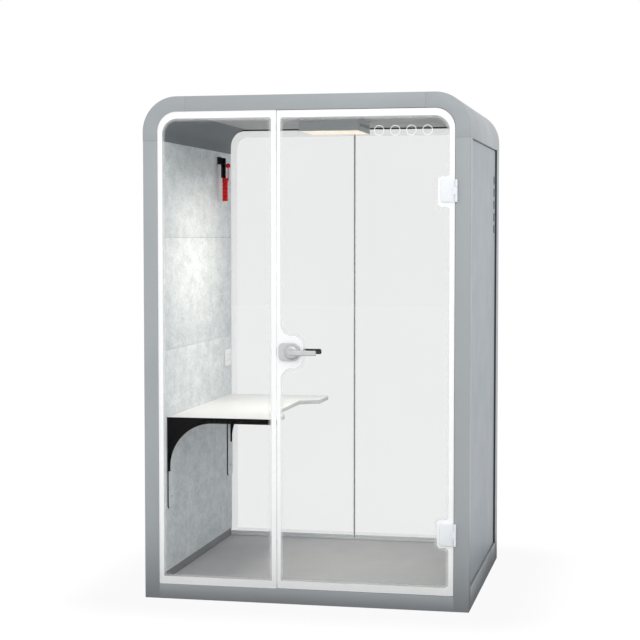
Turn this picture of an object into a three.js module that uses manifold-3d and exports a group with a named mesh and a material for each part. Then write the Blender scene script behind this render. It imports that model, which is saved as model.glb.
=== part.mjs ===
import * as THREE from 'three';
import { mergeVertices } from 'three/addons/utils/BufferGeometryUtils.js';
import Module from 'manifold-3d';

// Acoustic office pod for one person, with a glazed front and rear, felt-lined sides and a wall desk.
// Millimetres. +X is to the right as seen from the door side, +Y runs to the rear, +Z is up.
// Pieces are placed from the front face (y = 0) and from the ground. The group that holds them
// then moves the origin to the middle of the base.

const wasm = await Module();
wasm.setup();

// Overall size
const podWidth = 1500;
const podDepth = 1250;
const podHeight = 2300;

// Clearance between pieces that touch
const gap = 0.3;

// Frame profiles
const faceWidth = 68;
const cornerRadius = 160;
const cornerLeg = 200;
const frontFrameDepth = 60;
const rearFrameDepth = 110;
const profileWall = 3;
const sillHeight = 100;

// Outer panels and vent slots
const panelRecess = 9;
const panelShadowGap = 4;
const panelThickness = 2;
const ventCount = 5;
const ventPitch = 61;
const ventHeight = 40;
const ventWidth = 46;
const ventDrop = 134;
const ventFromRear = 160;
const ventDuctDepth = 30;

// Floor, lining and ceiling
const carpetThickness = 4;
const skirtingHeight = 40;
const skirtingRecess = 3;
const liningThickness = 18;
const lowerSeam = 1140;
const upperBoardHeight = 440;
const boardSeam = 2;
const coveRadius = 90;
const coveThickness = 5;

// Glazing and seals
const glassThickness = 10;
const glassSetback = 4;
const fixedGlassWidth = 556;
const doorGap = 2;
const sealWidth = 18;
const rearSealWidth = 12;
const sealThickness = 10;
const rearSeam = 7.6;

// Ceiling light and fan unit
const lightWidth = 290;
const lightDepth = 300;
const lightMiddle = 17;
const lightDrop = 60;
const lightFromFront = 475;
const lightWall = 3;
const diffuserThickness = 4;
const lightVentCount = 5;
const lightVentLength = 36;
const lightVentHeight = 14;
const fanRadius = 52;
const fanHubRadius = 18;
const fanHubHeight = 16;
const fanBladeCount = 7;
const fanBladeChord = 22;
const fanBladeThickness = 2;
const fanBladePitch = 30;
const fanMotorRadius = 12;
const fanMotorHeight = 12;
const fanShaftRadius = 3;
const fanShaftLength = 10;
const fanSpread = 62;
const fanFromUnitFront = 100;
const supplyWidth = 100;
const supplyDepth = 70;
const supplyHeight = 34;
const supplyFromUnitRear = 40;

// Door hinges
const hingeHeight = 98;
const upperHingeDrop = 366;
const lowerHingeRise = 276;
const hingeAxisInset = 4.5;
const hingeAxisSetout = 8;
const knuckleRadius = 5.5;
const hingePinRadius = 2.5;
const leafWidth = 10;
const leafThickness = 1.6;
const clampWidth = 62;
const clampThickness = 8;
const clampBoltRadius = 8;
const clampBoltSpacing = 50;

// Lever lock
const lockHeight = 1146;
const lockFromEdge = 9;
const lockLength = 104;
const lockWidth = 82;
const lockCornerRadius = 22;
const outerCaseThickness = 8;
const innerCaseThickness = 24;
const bossRadius = 36;
const bossTopRadius = 19;
const bossHeight = 22;
const leverLength = 120;
const leverWidth = 24;
const leverThickness = 12;
const leverTipRadius = 5;
const leverReach = 50;
const leverNeckRadius = 10.5;
const spindleRadius = 5;
const spindleEngagement = 34;
const boltLength = 43;
const boltWidth = 18;
const boltThickness = 10;
const boltTravel = 20;
const boltFromGlass = 7;
const boltInset = 2;
const keeperLength = 22;
const keeperWidth = 40;
const keeperThickness = 24;
const keeperWall = 4;
const keeperFromEdge = 2;

// Desk and its brackets, each with a plate on the wall
const deskHeight = 758;
const deskThickness = 20;
const deskFromFront = 80;
const deskLength = 1140;
const deskFrontDepth = 508;
const deskRearDepth = 530;
const deskMiddleDepth = 435;
const deskEndLength = 219;
const deskSlopeLength = 56;
const deskCornerRadius = 15;
const bracketThickness = 4;
const bracketArmHeight = 25;
const bracketArcRadius = 205;
const bracketFootWidth = 14;
const bracketFootDrop = 22;
const bracketShelfWidth = 20;
const bracketShelfInset = 40;
const bracketRearInset = 40;
const bracketRearReach = 340;
const wallPlateWidth = 94;
const wallPlateThickness = 6;
const wallPlateBottom = 402;
const wallPlateCornerRadius = 20;

// Socket plate
const socketWidth = 101;
const socketHeight = 86;
const socketThickness = 9;
const socketFromRear = 114;
const socketCentre = 1030;
const outletSize = 34;
const outletDepth = 3;
const outletSpacing = 46;

// Emergency hammer and its holder
const hammerFromRear = 283;
const hammerDrop = 254;
const hammerFromWall = 38;
const hammerGripRadius = 14.5;
const hammerGripLength = 119;
const hammerHeadThickness = 20;
const hammerHeadReach = 40;
const hammerHeadHeight = 102;
const hammerHeadBand = 28;
const hammerNeckWidth = 21;
const hammerNeckHeight = 50;
const hammerKnobRadius = 12.5;
const hammerKnobRise = 62;
const hammerKnobFromWall = 54;
const hammerStemRadius = 2.5;
const holderWidth = 26;
const holderThickness = 4;
const jawReach = 14;
const jawThickness = 5;

// Places that follow from the sizes above
const halfWidth = podWidth / 2;
const openHalf = halfWidth - faceWidth;
const openBottom = faceWidth;
const openTop = podHeight - faceWidth;
const cornerX = halfWidth - cornerLeg;
const cornerZ = podHeight - cornerLeg;
const arcX = halfWidth - cornerRadius;
const arcZ = podHeight - cornerRadius;
const innerRadius = cornerRadius - faceWidth;
const rearFrameY = podDepth - rearFrameDepth;
const bayFront = frontFrameDepth + gap;
const bayRear = rearFrameY - gap;
const panelOuterX = halfWidth - panelRecess;
const panelInnerX = panelOuterX - panelThickness;
const wallX = openHalf - liningThickness;
const floorZ = openBottom + carpetThickness;
const ceilingZ = openTop - gap - coveThickness;
const glassBack = glassSetback + glassThickness;
const sealBack = glassBack + gap + sealThickness;
const liningFront = sealBack + gap;
const liningRear = podDepth - liningFront;
const fixedEdgeX = fixedGlassWidth - openHalf;
const doorLeft = fixedEdgeX + doorGap;
const doorRight = openHalf - doorGap;
const ventTop = cornerZ - ventDrop;
const upperSeam = cornerZ - upperBoardHeight;
const upperHingeHeight = openTop - upperHingeDrop;
const lowerHingeHeight = openBottom + lowerHingeRise;
const hammerBottom = cornerZ - hammerDrop;

const arcSteps = 16;
const roundSteps = 24;

// Materials
function finish(color, roughness, metalness) {
  return new THREE.MeshStandardMaterial({ color, roughness, metalness });
}
const framePaint = finish(0xa9adb1, 0.45, 0.2);
const panelPaint = finish(0xb4b8bb, 0.5, 0.2);
const insulation = finish(0x8d8f90, 0.95, 0);
const plywood = finish(0x9a8466, 0.8, 0);
const carpetPile = finish(0x8b8c8e, 0.95, 0);
const felt = finish(0xc4c9c9, 0.95, 0);
const lining = finish(0x74777a, 0.8, 0);
const clearGlass = new THREE.MeshStandardMaterial({
  color: 0xe8efee, roughness: 0.05, metalness: 0, transparent: true, opacity: 0.25,
});
const blackRubber = finish(0x1b1c1d, 0.8, 0);
const lightBody = finish(0x8a8d8f, 0.5, 0.1);
const opal = finish(0xfff4e0, 0.4, 0);
const darkPlastic = finish(0x2a2b2d, 0.5, 0);
const whiteMetal = finish(0xeef2f4, 0.35, 0.2);
const satinMetal = finish(0xc6c9ca, 0.35, 0.8);
const deskLaminate = finish(0xf4f4f1, 0.4, 0);
const blackPaint = finish(0x141415, 0.5, 0.2);
const whitePlastic = finish(0xf0f0ee, 0.4, 0);
const redPlastic = finish(0xb01818, 0.4, 0);

// Solid tools
function toSolid(geometry) {
  geometry.deleteAttribute('normal');
  geometry.deleteAttribute('uv');
  const merged = mergeVertices(geometry);
  return new wasm.Manifold(new wasm.Mesh({
    numProp: 3,
    vertProperties: new Float32Array(merged.attributes.position.array),
    triVerts: new Uint32Array(merged.index.array),
  }));
}

function toGeometry(solid) {
  const mesh = solid.getMesh();
  const geometry = new THREE.BufferGeometry();
  geometry.setAttribute('position', new THREE.BufferAttribute(mesh.vertProperties, 3));
  geometry.setIndex(new THREE.BufferAttribute(mesh.triVerts, 1));
  return geometry;
}

function join(first, ...others) {
  return toGeometry(others.reduce((solid, other) => solid.add(toSolid(other)), toSolid(first)));
}

function cut(first, ...tools) {
  return toGeometry(tools.reduce((solid, tool) => solid.subtract(toSolid(tool)), toSolid(first)));
}

// Shapes
function box(x0, x1, y0, y1, z0, z1) {
  const geometry = new THREE.BoxGeometry(x1 - x0, y1 - y0, z1 - z0);
  return geometry.translate((x0 + x1) / 2, (y0 + y1) / 2, (z0 + z1) / 2);
}

function rodAlongY(x, y0, y1, z, radius, endRadius = radius) {
  const geometry = new THREE.CylinderGeometry(endRadius, radius, y1 - y0, roundSteps);
  return geometry.translate(x, (y0 + y1) / 2, z);
}

function rodAlongZ(x, y, z0, z1, radius) {
  const geometry = new THREE.CylinderGeometry(radius, radius, z1 - z0, roundSteps);
  return geometry.rotateX(Math.PI / 2).translate(x, y, (z0 + z1) / 2);
}

function point(x, y) {
  return new THREE.Vector2(x, y);
}

function arc(x, y, radius, fromDegrees, toDegrees) {
  return Array.from({ length: arcSteps + 1 }, (_, step) => {
    const turn = fromDegrees + ((toDegrees - fromDegrees) * step) / arcSteps;
    const angle = THREE.MathUtils.degToRad(turn);
    return point(x + radius * Math.cos(angle), y + radius * Math.sin(angle));
  });
}

function mirrored(points, side) {
  return points.map((corner) => point(side * corner.x, corner.y));
}

function outline(points, holes = []) {
  const shape = new THREE.Shape(points);
  shape.holes = holes.map((hole) => new THREE.Path(hole));
  return shape;
}

function extruded(shape, length) {
  return new THREE.ExtrudeGeometry(shape, { depth: length, bevelEnabled: false });
}

// Outline in X and Z, extruded from y0 to y1
function plateXZ(shape, y0, y1) {
  return extruded(shape, y1 - y0).rotateX(Math.PI / 2).translate(0, y1, 0);
}

// Outline in X and Y, extruded from z0 to z1
function plateXY(shape, z0, z1) {
  return extruded(shape, z1 - z0).translate(0, 0, z0);
}

// Outline in Y and Z, extruded from x0 to x1
function plateYZ(shape, x0, x1) {
  const turn = new THREE.Matrix4().makeBasis(
    new THREE.Vector3(0, 1, 0),
    new THREE.Vector3(0, 0, 1),
    new THREE.Vector3(1, 0, 0),
  );
  return extruded(shape, x1 - x0).applyMatrix4(turn).translate(x0, 0, 0);
}

function rectangle(u0, u1, v0, v1) {
  return [point(u0, v0), point(u1, v0), point(u1, v1), point(u0, v1)];
}

// Hollow rectangular section of a frame profile
function tubeSection(u0, u1, v0, v1) {
  const hollow = rectangle(u0 + profileWall, u1 - profileWall, v0 + profileWall, v1 - profileWall);
  return outline(rectangle(u0, u1, v0, v1), [hollow]);
}

// Section of a curved roof corner, from its lower joint to its joint with the top rail
function cornerSection(inset, overrun) {
  const endZ = cornerZ - overrun;
  const endX = cornerX - overrun;
  return [
    point(halfWidth - inset, endZ),
    ...arc(arcX, arcZ, cornerRadius - inset, 0, 90),
    point(endX, podHeight - inset),
    point(endX, openTop + inset),
    ...arc(arcX, arcZ, innerRadius + inset, 90, 0),
    point(openHalf + inset, endZ),
  ];
}

// Outline of the glazed opening, drawn in by an inset
function openingOutline(inset) {
  return [
    point(inset - openHalf, openBottom + inset),
    point(openHalf - inset, openBottom + inset),
    ...arc(arcX, arcZ, innerRadius - inset, 0, 90),
    ...arc(-arcX, arcZ, innerRadius - inset, 90, 180),
  ];
}

// Outline of a pane that fills the opening from an upright edge to one side
function paneOutline(edgeX, side, inset) {
  const pane = [
    point(side * edgeX, openBottom + inset),
    point(openHalf - inset, openBottom + inset),
    ...arc(arcX, arcZ, innerRadius - inset, 0, 90),
    point(side * edgeX, openTop - inset),
  ];
  return mirrored(pane, side);
}

// D-shaped outline of the lock cases, square towards the edge of the door
const lockLeft = doorLeft + lockFromEdge;
const spindleX = lockLeft + lockLength - lockWidth / 2;
function lockOutline() {
  const reach = lockWidth / 2 - lockCornerRadius;
  return [
    ...arc(lockLeft + lockCornerRadius, lockHeight - reach, lockCornerRadius, 180, 270),
    ...arc(spindleX, lockHeight, lockWidth / 2, -90, 90),
    ...arc(lockLeft + lockCornerRadius, lockHeight + reach, lockCornerRadius, 90, 180),
  ];
}

const pod = new THREE.Group();
pod.position.y = -podDepth / 2;

function add(name, geometry, material) {
  const mesh = new THREE.Mesh(geometry, material);
  mesh.name = name;
  pod.add(mesh);
}

const sides = { left: -1, right: 1 };

// A box given by distances from the middle, set on the left or the right
function sideBox(side, x0, x1, y0, y1, z0, z1) {
  return side < 0 ? box(-x1, -x0, y0, y1, z0, z1) : box(x0, x1, y0, y1, z0, z1);
}

// Frame
function addFrame() {
  const ends = { front: [0, frontFrameDepth], rear: [rearFrameY, podDepth] };
  for (const [end, [y0, y1]] of Object.entries(ends)) {
    for (const [name, side] of Object.entries(sides)) {
      const x0 = Math.min(side * openHalf, side * halfWidth);
      const section = tubeSection(x0, x0 + faceWidth, y0, y1);
      add(`${end}_post_${name}`, plateXY(section, 0, cornerZ - gap), framePaint);
    }
    const bottomSection = tubeSection(y0, y1, 0, openBottom);
    add(`${end}_bottom_rail`, plateYZ(bottomSection, gap - openHalf, openHalf - gap), framePaint);
    const topSection = tubeSection(y0, y1, openTop, podHeight);
    add(`${end}_top_rail`, plateYZ(topSection, gap - cornerX, cornerX - gap), framePaint);
  }
  for (const [name, side] of Object.entries(sides)) {
    const whole = plateXZ(outline(mirrored(cornerSection(0, 0), side)), 0, podDepth);
    const hollow = outline(mirrored(cornerSection(profileWall, profileWall), side));
    const cavity = plateXZ(hollow, profileWall, podDepth - profileWall);
    add(`roof_corner_${name}`, cut(whole, cavity), framePaint);
  }
}

// Roof, sides and floor
function ventSlots(x0, x1, width, height) {
  return Array.from({ length: ventCount }, (_, row) => {
    const top = ventTop - row * ventPitch;
    const middle = top - ventHeight / 2;
    const y = podDepth - ventFromRear;
    return box(x0, x1, y - width / 2, y + width / 2, middle - height / 2, middle + height / 2);
  });
}

function addShell() {
  const roofX = cornerX - gap;
  const roofTop = podHeight - panelRecess;
  const roofBottom = roofTop - panelThickness;
  add('roof_panel', box(-roofX, roofX, bayFront, bayRear, roofBottom, roofTop), panelPaint);
  add('roof_core', box(-roofX, roofX, bayFront, bayRear, openTop + gap, roofBottom - gap), insulation);

  const panelBottom = sillHeight + panelShadowGap;
  const panelTop = cornerZ - panelShadowGap;
  const coreBottom = sillHeight + gap;
  const coreTop = cornerZ - gap;
  const coreOuterX = panelInnerX - gap;
  const coreInnerX = openHalf + gap;
  for (const [name, side] of Object.entries(sides)) {
    const sillX = [side * openHalf, side * halfWidth];
    const sillSection = tubeSection(Math.min(...sillX), Math.max(...sillX), 0, sillHeight);
    const sill = plateXZ(sillSection, bayFront, bayRear);
    add(`side_sill_${name}`, sill, framePaint);
    const panel = sideBox(side, panelInnerX, panelOuterX, bayFront, bayRear, panelBottom, panelTop);
    const core = sideBox(side, coreInnerX, coreOuterX, bayFront, bayRear, coreBottom, coreTop);
    if (side > 0) {
      const slots = ventSlots(panelInnerX - gap, panelOuterX + gap, ventWidth, ventHeight);
      const ducts = ventSlots(coreOuterX - ventDuctDepth, coreOuterX + gap, ventWidth, ventHeight);
      add(`side_panel_${name}`, cut(panel, ...slots), panelPaint);
      add(`side_core_${name}`, cut(core, ...ducts), insulation);
    } else {
      add(`side_panel_${name}`, panel, panelPaint);
      add(`side_core_${name}`, core, insulation);
    }
  }
  const deckX = openHalf - gap;
  add('floor_deck', box(-deckX, deckX, bayFront, bayRear, 0, openBottom), plywood);
  add('carpet', box(-deckX, deckX, liningFront, liningRear, openBottom + gap, floorZ), carpetPile);
}

// Felt boards, coves and ceiling
function addLining() {
  const skirtingTop = floorZ + skirtingHeight;
  const rows = {
    lower: [skirtingTop + gap, lowerSeam - boardSeam / 2],
    middle: [lowerSeam + boardSeam / 2, upperSeam - boardSeam / 2],
    upper: [upperSeam + boardSeam / 2, cornerZ - gap],
  };
  for (const [name, side] of Object.entries(sides)) {
    for (const [row, [z0, z1]] of Object.entries(rows)) {
      const board = sideBox(side, wallX, openHalf - gap, liningFront, liningRear, z0, z1);
      add(`felt_${name}_${row}`, board, felt);
    }
    const skirting = sideBox(
      side, wallX + skirtingRecess, openHalf - gap, liningFront, liningRear, floorZ + gap, skirtingTop,
    );
    add(`skirting_${name}`, skirting, lining);
    const coveX = wallX - coveRadius;
    const coveZ = ceilingZ - coveRadius;
    const section = [
      point(wallX, cornerZ),
      ...arc(coveX, coveZ, coveRadius, 0, 90),
      ...arc(coveX, coveZ, coveRadius + coveThickness, 90, 0),
      point(wallX + coveThickness, cornerZ),
    ];
    add(`cove_${name}`, plateXZ(outline(mirrored(section, side)), liningFront, liningRear), lining);
  }
  const ceilingX = wallX - coveRadius - gap;
  const ceilingTop = ceilingZ + coveThickness;
  add('ceiling_panel', box(-ceilingX, ceilingX, liningFront, liningRear, ceilingZ, ceilingTop), lining);
}

// Ceiling light with its two fans
function addLightUnit() {
  const left = lightMiddle - lightWidth / 2;
  const right = lightMiddle + lightWidth / 2;
  const front = lightFromFront;
  const rear = front + lightDepth;
  const top = ceilingZ - gap;
  const bottom = top - lightDrop;
  const innerLeft = left + lightWall;
  const innerRight = right - lightWall;
  const innerTop = top - lightWall;
  const innerFront = front + lightWall;
  const innerRear = rear - lightWall;
  const fanY = front + fanFromUnitFront;
  const hubTop = innerTop - fanMotorHeight - gap;
  const shaftBottom = hubTop - fanShaftLength;
  const cavity = box(innerLeft, innerRight, innerFront, innerRear, bottom - gap, innerTop);
  const ventMiddle = (bottom + diffuserThickness + innerTop) / 2;
  const ventStep = lightDepth / (lightVentCount + 1);
  const vents = Array.from({ length: lightVentCount }, (_, index) => {
    const y = front + ventStep * (index + 1);
    const z0 = ventMiddle - lightVentHeight / 2;
    const z1 = ventMiddle + lightVentHeight / 2;
    return box(left - gap, right + gap, y - lightVentLength / 2, y + lightVentLength / 2, z0, z1);
  });
  const shell = cut(box(left, right, front, rear, bottom, top), cavity, ...vents);
  const postTop = top - lightWall / 2;
  const motors = Object.values(sides).flatMap((side) => {
    const x = lightMiddle + side * fanSpread;
    return [
      rodAlongZ(x, fanY, innerTop - fanMotorHeight, postTop, fanMotorRadius),
      rodAlongZ(x, fanY, shaftBottom, postTop, fanShaftRadius),
    ];
  });
  add('light_housing', join(shell, ...motors), lightBody);

  const panelLeft = innerLeft + gap;
  const panelRight = innerRight - gap;
  const panelFront = innerFront + gap;
  const panelRear = innerRear - gap;
  const diffuserTop = bottom + diffuserThickness;
  add('light_diffuser', box(panelLeft, panelRight, panelFront, panelRear, bottom, diffuserTop), opal);

  const supplyRear = rear - supplyFromUnitRear;
  const supplyTop = innerTop - gap;
  const supply = box(
    lightMiddle - supplyWidth / 2, lightMiddle + supplyWidth / 2,
    supplyRear - supplyDepth, supplyRear,
    supplyTop - supplyHeight, supplyTop,
  );
  add('power_supply', supply, darkPlastic);

  for (const [name, side] of Object.entries(sides)) {
    const x = lightMiddle + side * fanSpread;
    const hubMiddle = hubTop - fanHubHeight / 2;
    const blades = Array.from({ length: fanBladeCount }, (_, index) => {
      const root = fanHubRadius - fanBladeThickness;
      const length = fanRadius - root;
      const blade = new THREE.BoxGeometry(length, fanBladeChord, fanBladeThickness);
      blade.rotateX(THREE.MathUtils.degToRad(fanBladePitch));
      blade.translate(root + length / 2, 0, 0);
      blade.rotateZ((2 * Math.PI * index) / fanBladeCount);
      return blade.translate(x, fanY, hubMiddle);
    });
    const hub = rodAlongZ(x, fanY, hubTop - fanHubHeight, hubTop, fanHubRadius);
    const bore = rodAlongZ(x, fanY, shaftBottom - gap, hubTop + gap, fanShaftRadius + gap);
    add(`fan_rotor_${name}`, cut(join(hub, ...blades), bore), darkPlastic);
  }
}

// Front panes, rear panes and their seals
const hinges = { upper: upperHingeHeight, lower: lowerHingeHeight };
const clampBoltX = doorRight - clampWidth / 2;
function clampBoltHeights(middle) {
  return [middle - clampBoltSpacing / 2, middle + clampBoltSpacing / 2];
}

function addGlazing() {
  const fixed = outline(paneOutline(fixedEdgeX, -1, gap));
  add('fixed_glass', plateXZ(fixed, glassSetback, glassBack), clearGlass);

  const holes = Object.values(hinges).flatMap((middle) => clampBoltHeights(middle).map(
    (z) => rodAlongY(clampBoltX, glassSetback - gap, glassBack + gap, z, clampBoltRadius + gap),
  ));
  const spindleHole = rodAlongY(
    spindleX, glassSetback - gap, glassBack + gap, lockHeight, leverNeckRadius + gap,
  );
  const door = plateXZ(outline(paneOutline(doorLeft, 1, doorGap)), glassSetback, glassBack);
  add('door_glass', cut(door, spindleHole, ...holes), clearGlass);

  const rearBack = podDepth - glassSetback;
  const rearFront = rearBack - glassThickness;
  for (const [name, side] of Object.entries(sides)) {
    const pane = outline(paneOutline(side * (rearSeam / 2), side, gap));
    add(`rear_glass_${name}`, plateXZ(pane, rearFront, rearBack), clearGlass);
  }
  const stripX = rearSeam / 2 - gap;
  const strip = box(-stripX, stripX, rearFront, rearBack, openBottom + gap, openTop - gap);
  add('rear_seam_strip', strip, blackRubber);

  const frontRing = outline(openingOutline(gap), [openingOutline(sealWidth)]);
  add('front_seal', plateXZ(frontRing, glassBack + gap, sealBack), blackRubber);
  const rearRing = outline(openingOutline(gap), [openingOutline(rearSealWidth)]);
  add('rear_seal', plateXZ(rearRing, podDepth - sealBack, podDepth - glassBack - gap), blackRubber);
}

// Hinges: a leaf with a fixed pin on the frame, and a clamp on the door glass
function addHinges() {
  const axisX = openHalf + hingeAxisInset;
  const axisY = -hingeAxisSetout;
  const leafBack = -gap;
  const leafFront = leafBack - leafThickness;
  const knuckle = hingeHeight / 3;
  const clampFront = glassSetback - gap - clampThickness;
  for (const [name, middle] of Object.entries(hinges)) {
    const bottom = middle - hingeHeight / 2;
    const top = middle + hingeHeight / 2;
    const leafX = axisX + knuckleRadius;
    const strip = box(leafX - leafWidth, leafX, leafFront, leafBack, bottom, top);
    const ears = [[bottom, bottom + knuckle], [top - knuckle, top]].flatMap(([z0, z1]) => [
      rodAlongZ(axisX, axisY, z0, z1, knuckleRadius),
      box(axisX - knuckleRadius / 2, axisX + knuckleRadius / 2, axisY, leafBack, z0, z1),
    ]);
    const pin = rodAlongZ(axisX, axisY, bottom + gap, top - gap, hingePinRadius);
    add(`hinge_leaf_${name}`, join(strip, ...ears, pin), whiteMetal);

    const z0 = bottom + knuckle + gap;
    const z1 = top - knuckle - gap;
    const plateLeft = doorRight - clampWidth;
    const plate = box(plateLeft, doorRight, clampFront, glassSetback - gap, bottom, top);
    const arm = box(
      doorRight - knuckleRadius, axisX,
      axisY - knuckleRadius, clampFront + knuckleRadius / 2, z0, z1,
    );
    const barrel = rodAlongZ(axisX, axisY, z0, z1, knuckleRadius);
    const backPlate = box(
      plateLeft, openHalf - sealWidth - gap,
      glassBack + gap, glassBack + gap + clampThickness, bottom, top,
    );
    const bolts = clampBoltHeights(middle).map(
      (z) => rodAlongY(clampBoltX, clampFront, glassBack + clampThickness, z, clampBoltRadius),
    );
    const bore = rodAlongZ(axisX, axisY, z0 - gap, z1 + gap, hingePinRadius + gap);
    const relief = box(axisX - knuckleRadius, axisX + knuckleRadius, leafFront - gap, leafBack, z0, z1);
    const clamp = cut(join(plate, arm, barrel, backPlate, ...bolts), bore, relief);
    add(`hinge_clamp_${name}`, clamp, whiteMetal);
  }
}

// Lever lock on the door, and the keeper for its bolt on the fixed glass
function leverOutline() {
  const half = leverWidth / 2;
  const tip = spindleX + leverLength - leverTipRadius;
  return [
    ...arc(spindleX, lockHeight, half, 90, 270),
    ...arc(tip, lockHeight - half + leverTipRadius, leverTipRadius, -90, 0),
    ...arc(tip, lockHeight + half - leverTipRadius, leverTipRadius, 0, 90),
  ];
}

function addLock() {
  const outerBack = glassSetback - gap;
  const outerFront = outerBack - outerCaseThickness;
  const bossFront = outerFront - bossHeight;
  const innerFront = glassBack + gap;
  const innerBack = innerFront + innerCaseThickness;
  const neckBore = leverNeckRadius + gap;
  const boltY = glassBack + boltFromGlass;
  const boltLeft = lockLeft + boltInset;
  const boltRight = boltLeft + boltLength;
  const boltHalf = boltWidth / 2;

  const boss = rodAlongY(spindleX, bossFront, outerFront + gap, lockHeight, bossTopRadius, bossRadius);
  const outerCase = join(plateXZ(outline(lockOutline()), outerFront, outerBack), boss);
  const outerBore = rodAlongY(spindleX, bossFront - gap, outerBack + gap, lockHeight, neckBore);
  add('lock_case_outer', cut(outerCase, outerBore), satinMetal);

  const innerCase = plateXZ(outline(lockOutline()), innerFront, innerBack);
  const innerBore = rodAlongY(spindleX, innerFront - gap, innerBack + gap, lockHeight, neckBore);
  const boltWay = box(
    lockLeft - gap, boltRight + gap,
    boltY - gap, boltY + boltThickness + gap,
    lockHeight - boltHalf - gap, lockHeight + boltHalf + gap,
  );
  add('lock_case_inner', cut(innerCase, innerBore, boltWay), satinMetal);

  const outerArmBack = glassSetback - leverReach;
  const spindleEnd = innerBack + spindleEngagement / 2;
  const outerArm = plateXZ(outline(leverOutline()), outerArmBack - leverThickness, outerArmBack);
  const outerNeckFront = outerArmBack - leverThickness / 2;
  const outerNeck = rodAlongY(spindleX, outerNeckFront, outerBack, lockHeight, leverNeckRadius);
  const spindle = rodAlongY(spindleX, outerArmBack, spindleEnd, lockHeight, spindleRadius);
  add('lever_outer', join(outerArm, outerNeck, spindle), satinMetal);

  const innerArmFront = glassBack + leverReach;
  const innerArm = plateXZ(outline(leverOutline()), innerArmFront, innerArmFront + leverThickness);
  const innerNeckBack = innerArmFront + leverThickness / 2;
  const innerNeck = rodAlongY(spindleX, innerFront, innerNeckBack, lockHeight, leverNeckRadius);
  const socket = rodAlongY(spindleX, innerFront - gap, spindleEnd + gap, lockHeight, spindleRadius + gap);
  add('lever_inner', cut(join(innerArm, innerNeck), socket), darkPlastic);

  const bolt = box(
    boltLeft, boltRight, boltY, boltY + boltThickness, lockHeight - boltHalf, lockHeight + boltHalf,
  );
  add('lock_bolt', bolt, satinMetal);

  const keeperRight = fixedEdgeX - keeperFromEdge;
  const keeperLeft = keeperRight - keeperLength;
  const pocketLeft = boltLeft - boltTravel - keeperWall;
  const keeper = box(
    keeperLeft, keeperRight,
    innerFront, innerFront + keeperThickness,
    lockHeight - keeperWidth / 2, lockHeight + keeperWidth / 2,
  );
  const pocket = box(
    pocketLeft, keeperRight + gap,
    boltY - boltInset, boltY + boltThickness + boltInset,
    lockHeight - boltHalf - boltInset, lockHeight + boltHalf + boltInset,
  );
  add('bolt_keeper', cut(keeper, pocket), satinMetal);
}

// Desk on the left wall and its two brackets
const wallFace = gap - wallX;
const deskTop = floorZ + deskHeight;
const deskBottom = deskTop - deskThickness;
const deskRear = deskFromFront + deskLength;

function addDesk() {
  const frontX = deskFrontDepth - wallX;
  const rearX = deskRearDepth - wallX;
  const middleX = deskMiddleDepth - wallX;
  const frontCorner = frontX - deskCornerRadius;
  const rearCorner = rearX - deskCornerRadius;
  const frontEnd = deskFromFront + deskEndLength;
  const rearEnd = deskRear - deskEndLength;
  const top = [
    point(wallFace, deskFromFront),
    ...arc(frontCorner, deskFromFront + deskCornerRadius, deskCornerRadius, -90, 0),
    point(frontX, frontEnd),
    point(middleX, frontEnd + deskSlopeLength),
    point(middleX, rearEnd - deskSlopeLength),
    point(rearX, rearEnd),
    ...arc(rearCorner, deskRear - deskCornerRadius, deskCornerRadius, 0, 90),
    point(wallFace, deskRear),
  ];
  add('desk_top', plateXY(outline(top), deskBottom, deskTop), deskLaminate);

  const armBottom = deskTop - bracketArmHeight;
  const footX = wallFace + bracketFootWidth;
  const arcZLow = armBottom - bracketArcRadius;
  const footZ = arcZLow - bracketFootDrop;
  const shelfTop = deskBottom - gap;
  const shelfBottom = shelfTop - bracketThickness;
  const shelfReach = bracketThickness + bracketShelfWidth;
  const cornerZLow = wallPlateBottom + wallPlateCornerRadius;
  const frontWeb = deskFromFront - gap - bracketThickness;
  const rearWeb = deskRear - bracketRearInset - bracketThickness;
  const places = {
    front: {
      webFront: frontWeb,
      webTop: deskTop,
      armEnd: frontCorner,
      shelfFront: frontWeb,
      plateFront: frontWeb,
    },
    rear: {
      webFront: rearWeb,
      webTop: shelfTop,
      armEnd: wallFace + bracketRearReach,
      shelfFront: rearWeb - bracketShelfWidth,
      plateFront: deskRear - wallPlateWidth,
    },
  };
  for (const [name, { webFront, webTop, armEnd, shelfFront, plateFront }] of Object.entries(places)) {
    const web = [
      point(wallFace, webTop),
      point(wallFace, footZ),
      point(footX, footZ),
      ...arc(footX + bracketArcRadius, arcZLow, bracketArcRadius, 180, 90),
      point(armEnd, armBottom),
      point(armEnd, webTop),
    ];
    const webPlate = plateXZ(outline(web), webFront, webFront + bracketThickness);
    const shelf = box(
      wallFace, armEnd - bracketShelfInset,
      shelfFront, shelfFront + shelfReach, shelfBottom, shelfTop,
    );
    const plateRear = plateFront + wallPlateWidth;
    const plate = [
      point(plateFront, shelfTop),
      ...arc(plateFront + wallPlateCornerRadius, cornerZLow, wallPlateCornerRadius, 180, 270),
      ...arc(plateRear - wallPlateCornerRadius, cornerZLow, wallPlateCornerRadius, 270, 360),
      point(plateRear, shelfTop),
    ];
    const wallPlate = plateYZ(outline(plate), wallFace, wallFace + wallPlateThickness);
    add(`desk_bracket_${name}`, join(webPlate, shelf, wallPlate), blackPaint);
  }
}

// Double socket on the left wall, above the desk
function addSocket() {
  const y = podDepth - socketFromRear;
  const z = socketCentre;
  const face = wallFace + socketThickness;
  const plate = box(
    wallFace, face,
    y - socketWidth / 2, y + socketWidth / 2, z - socketHeight / 2, z + socketHeight / 2,
  );
  const half = outletSize / 2;
  const outlets = [-1, 1].map((side) => {
    const middle = y + (side * outletSpacing) / 2;
    return box(face - outletDepth, face + gap, middle - half, middle + half, z - half, z + half);
  });
  add('socket_plate', cut(plate, ...outlets), whitePlastic);
}

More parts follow.
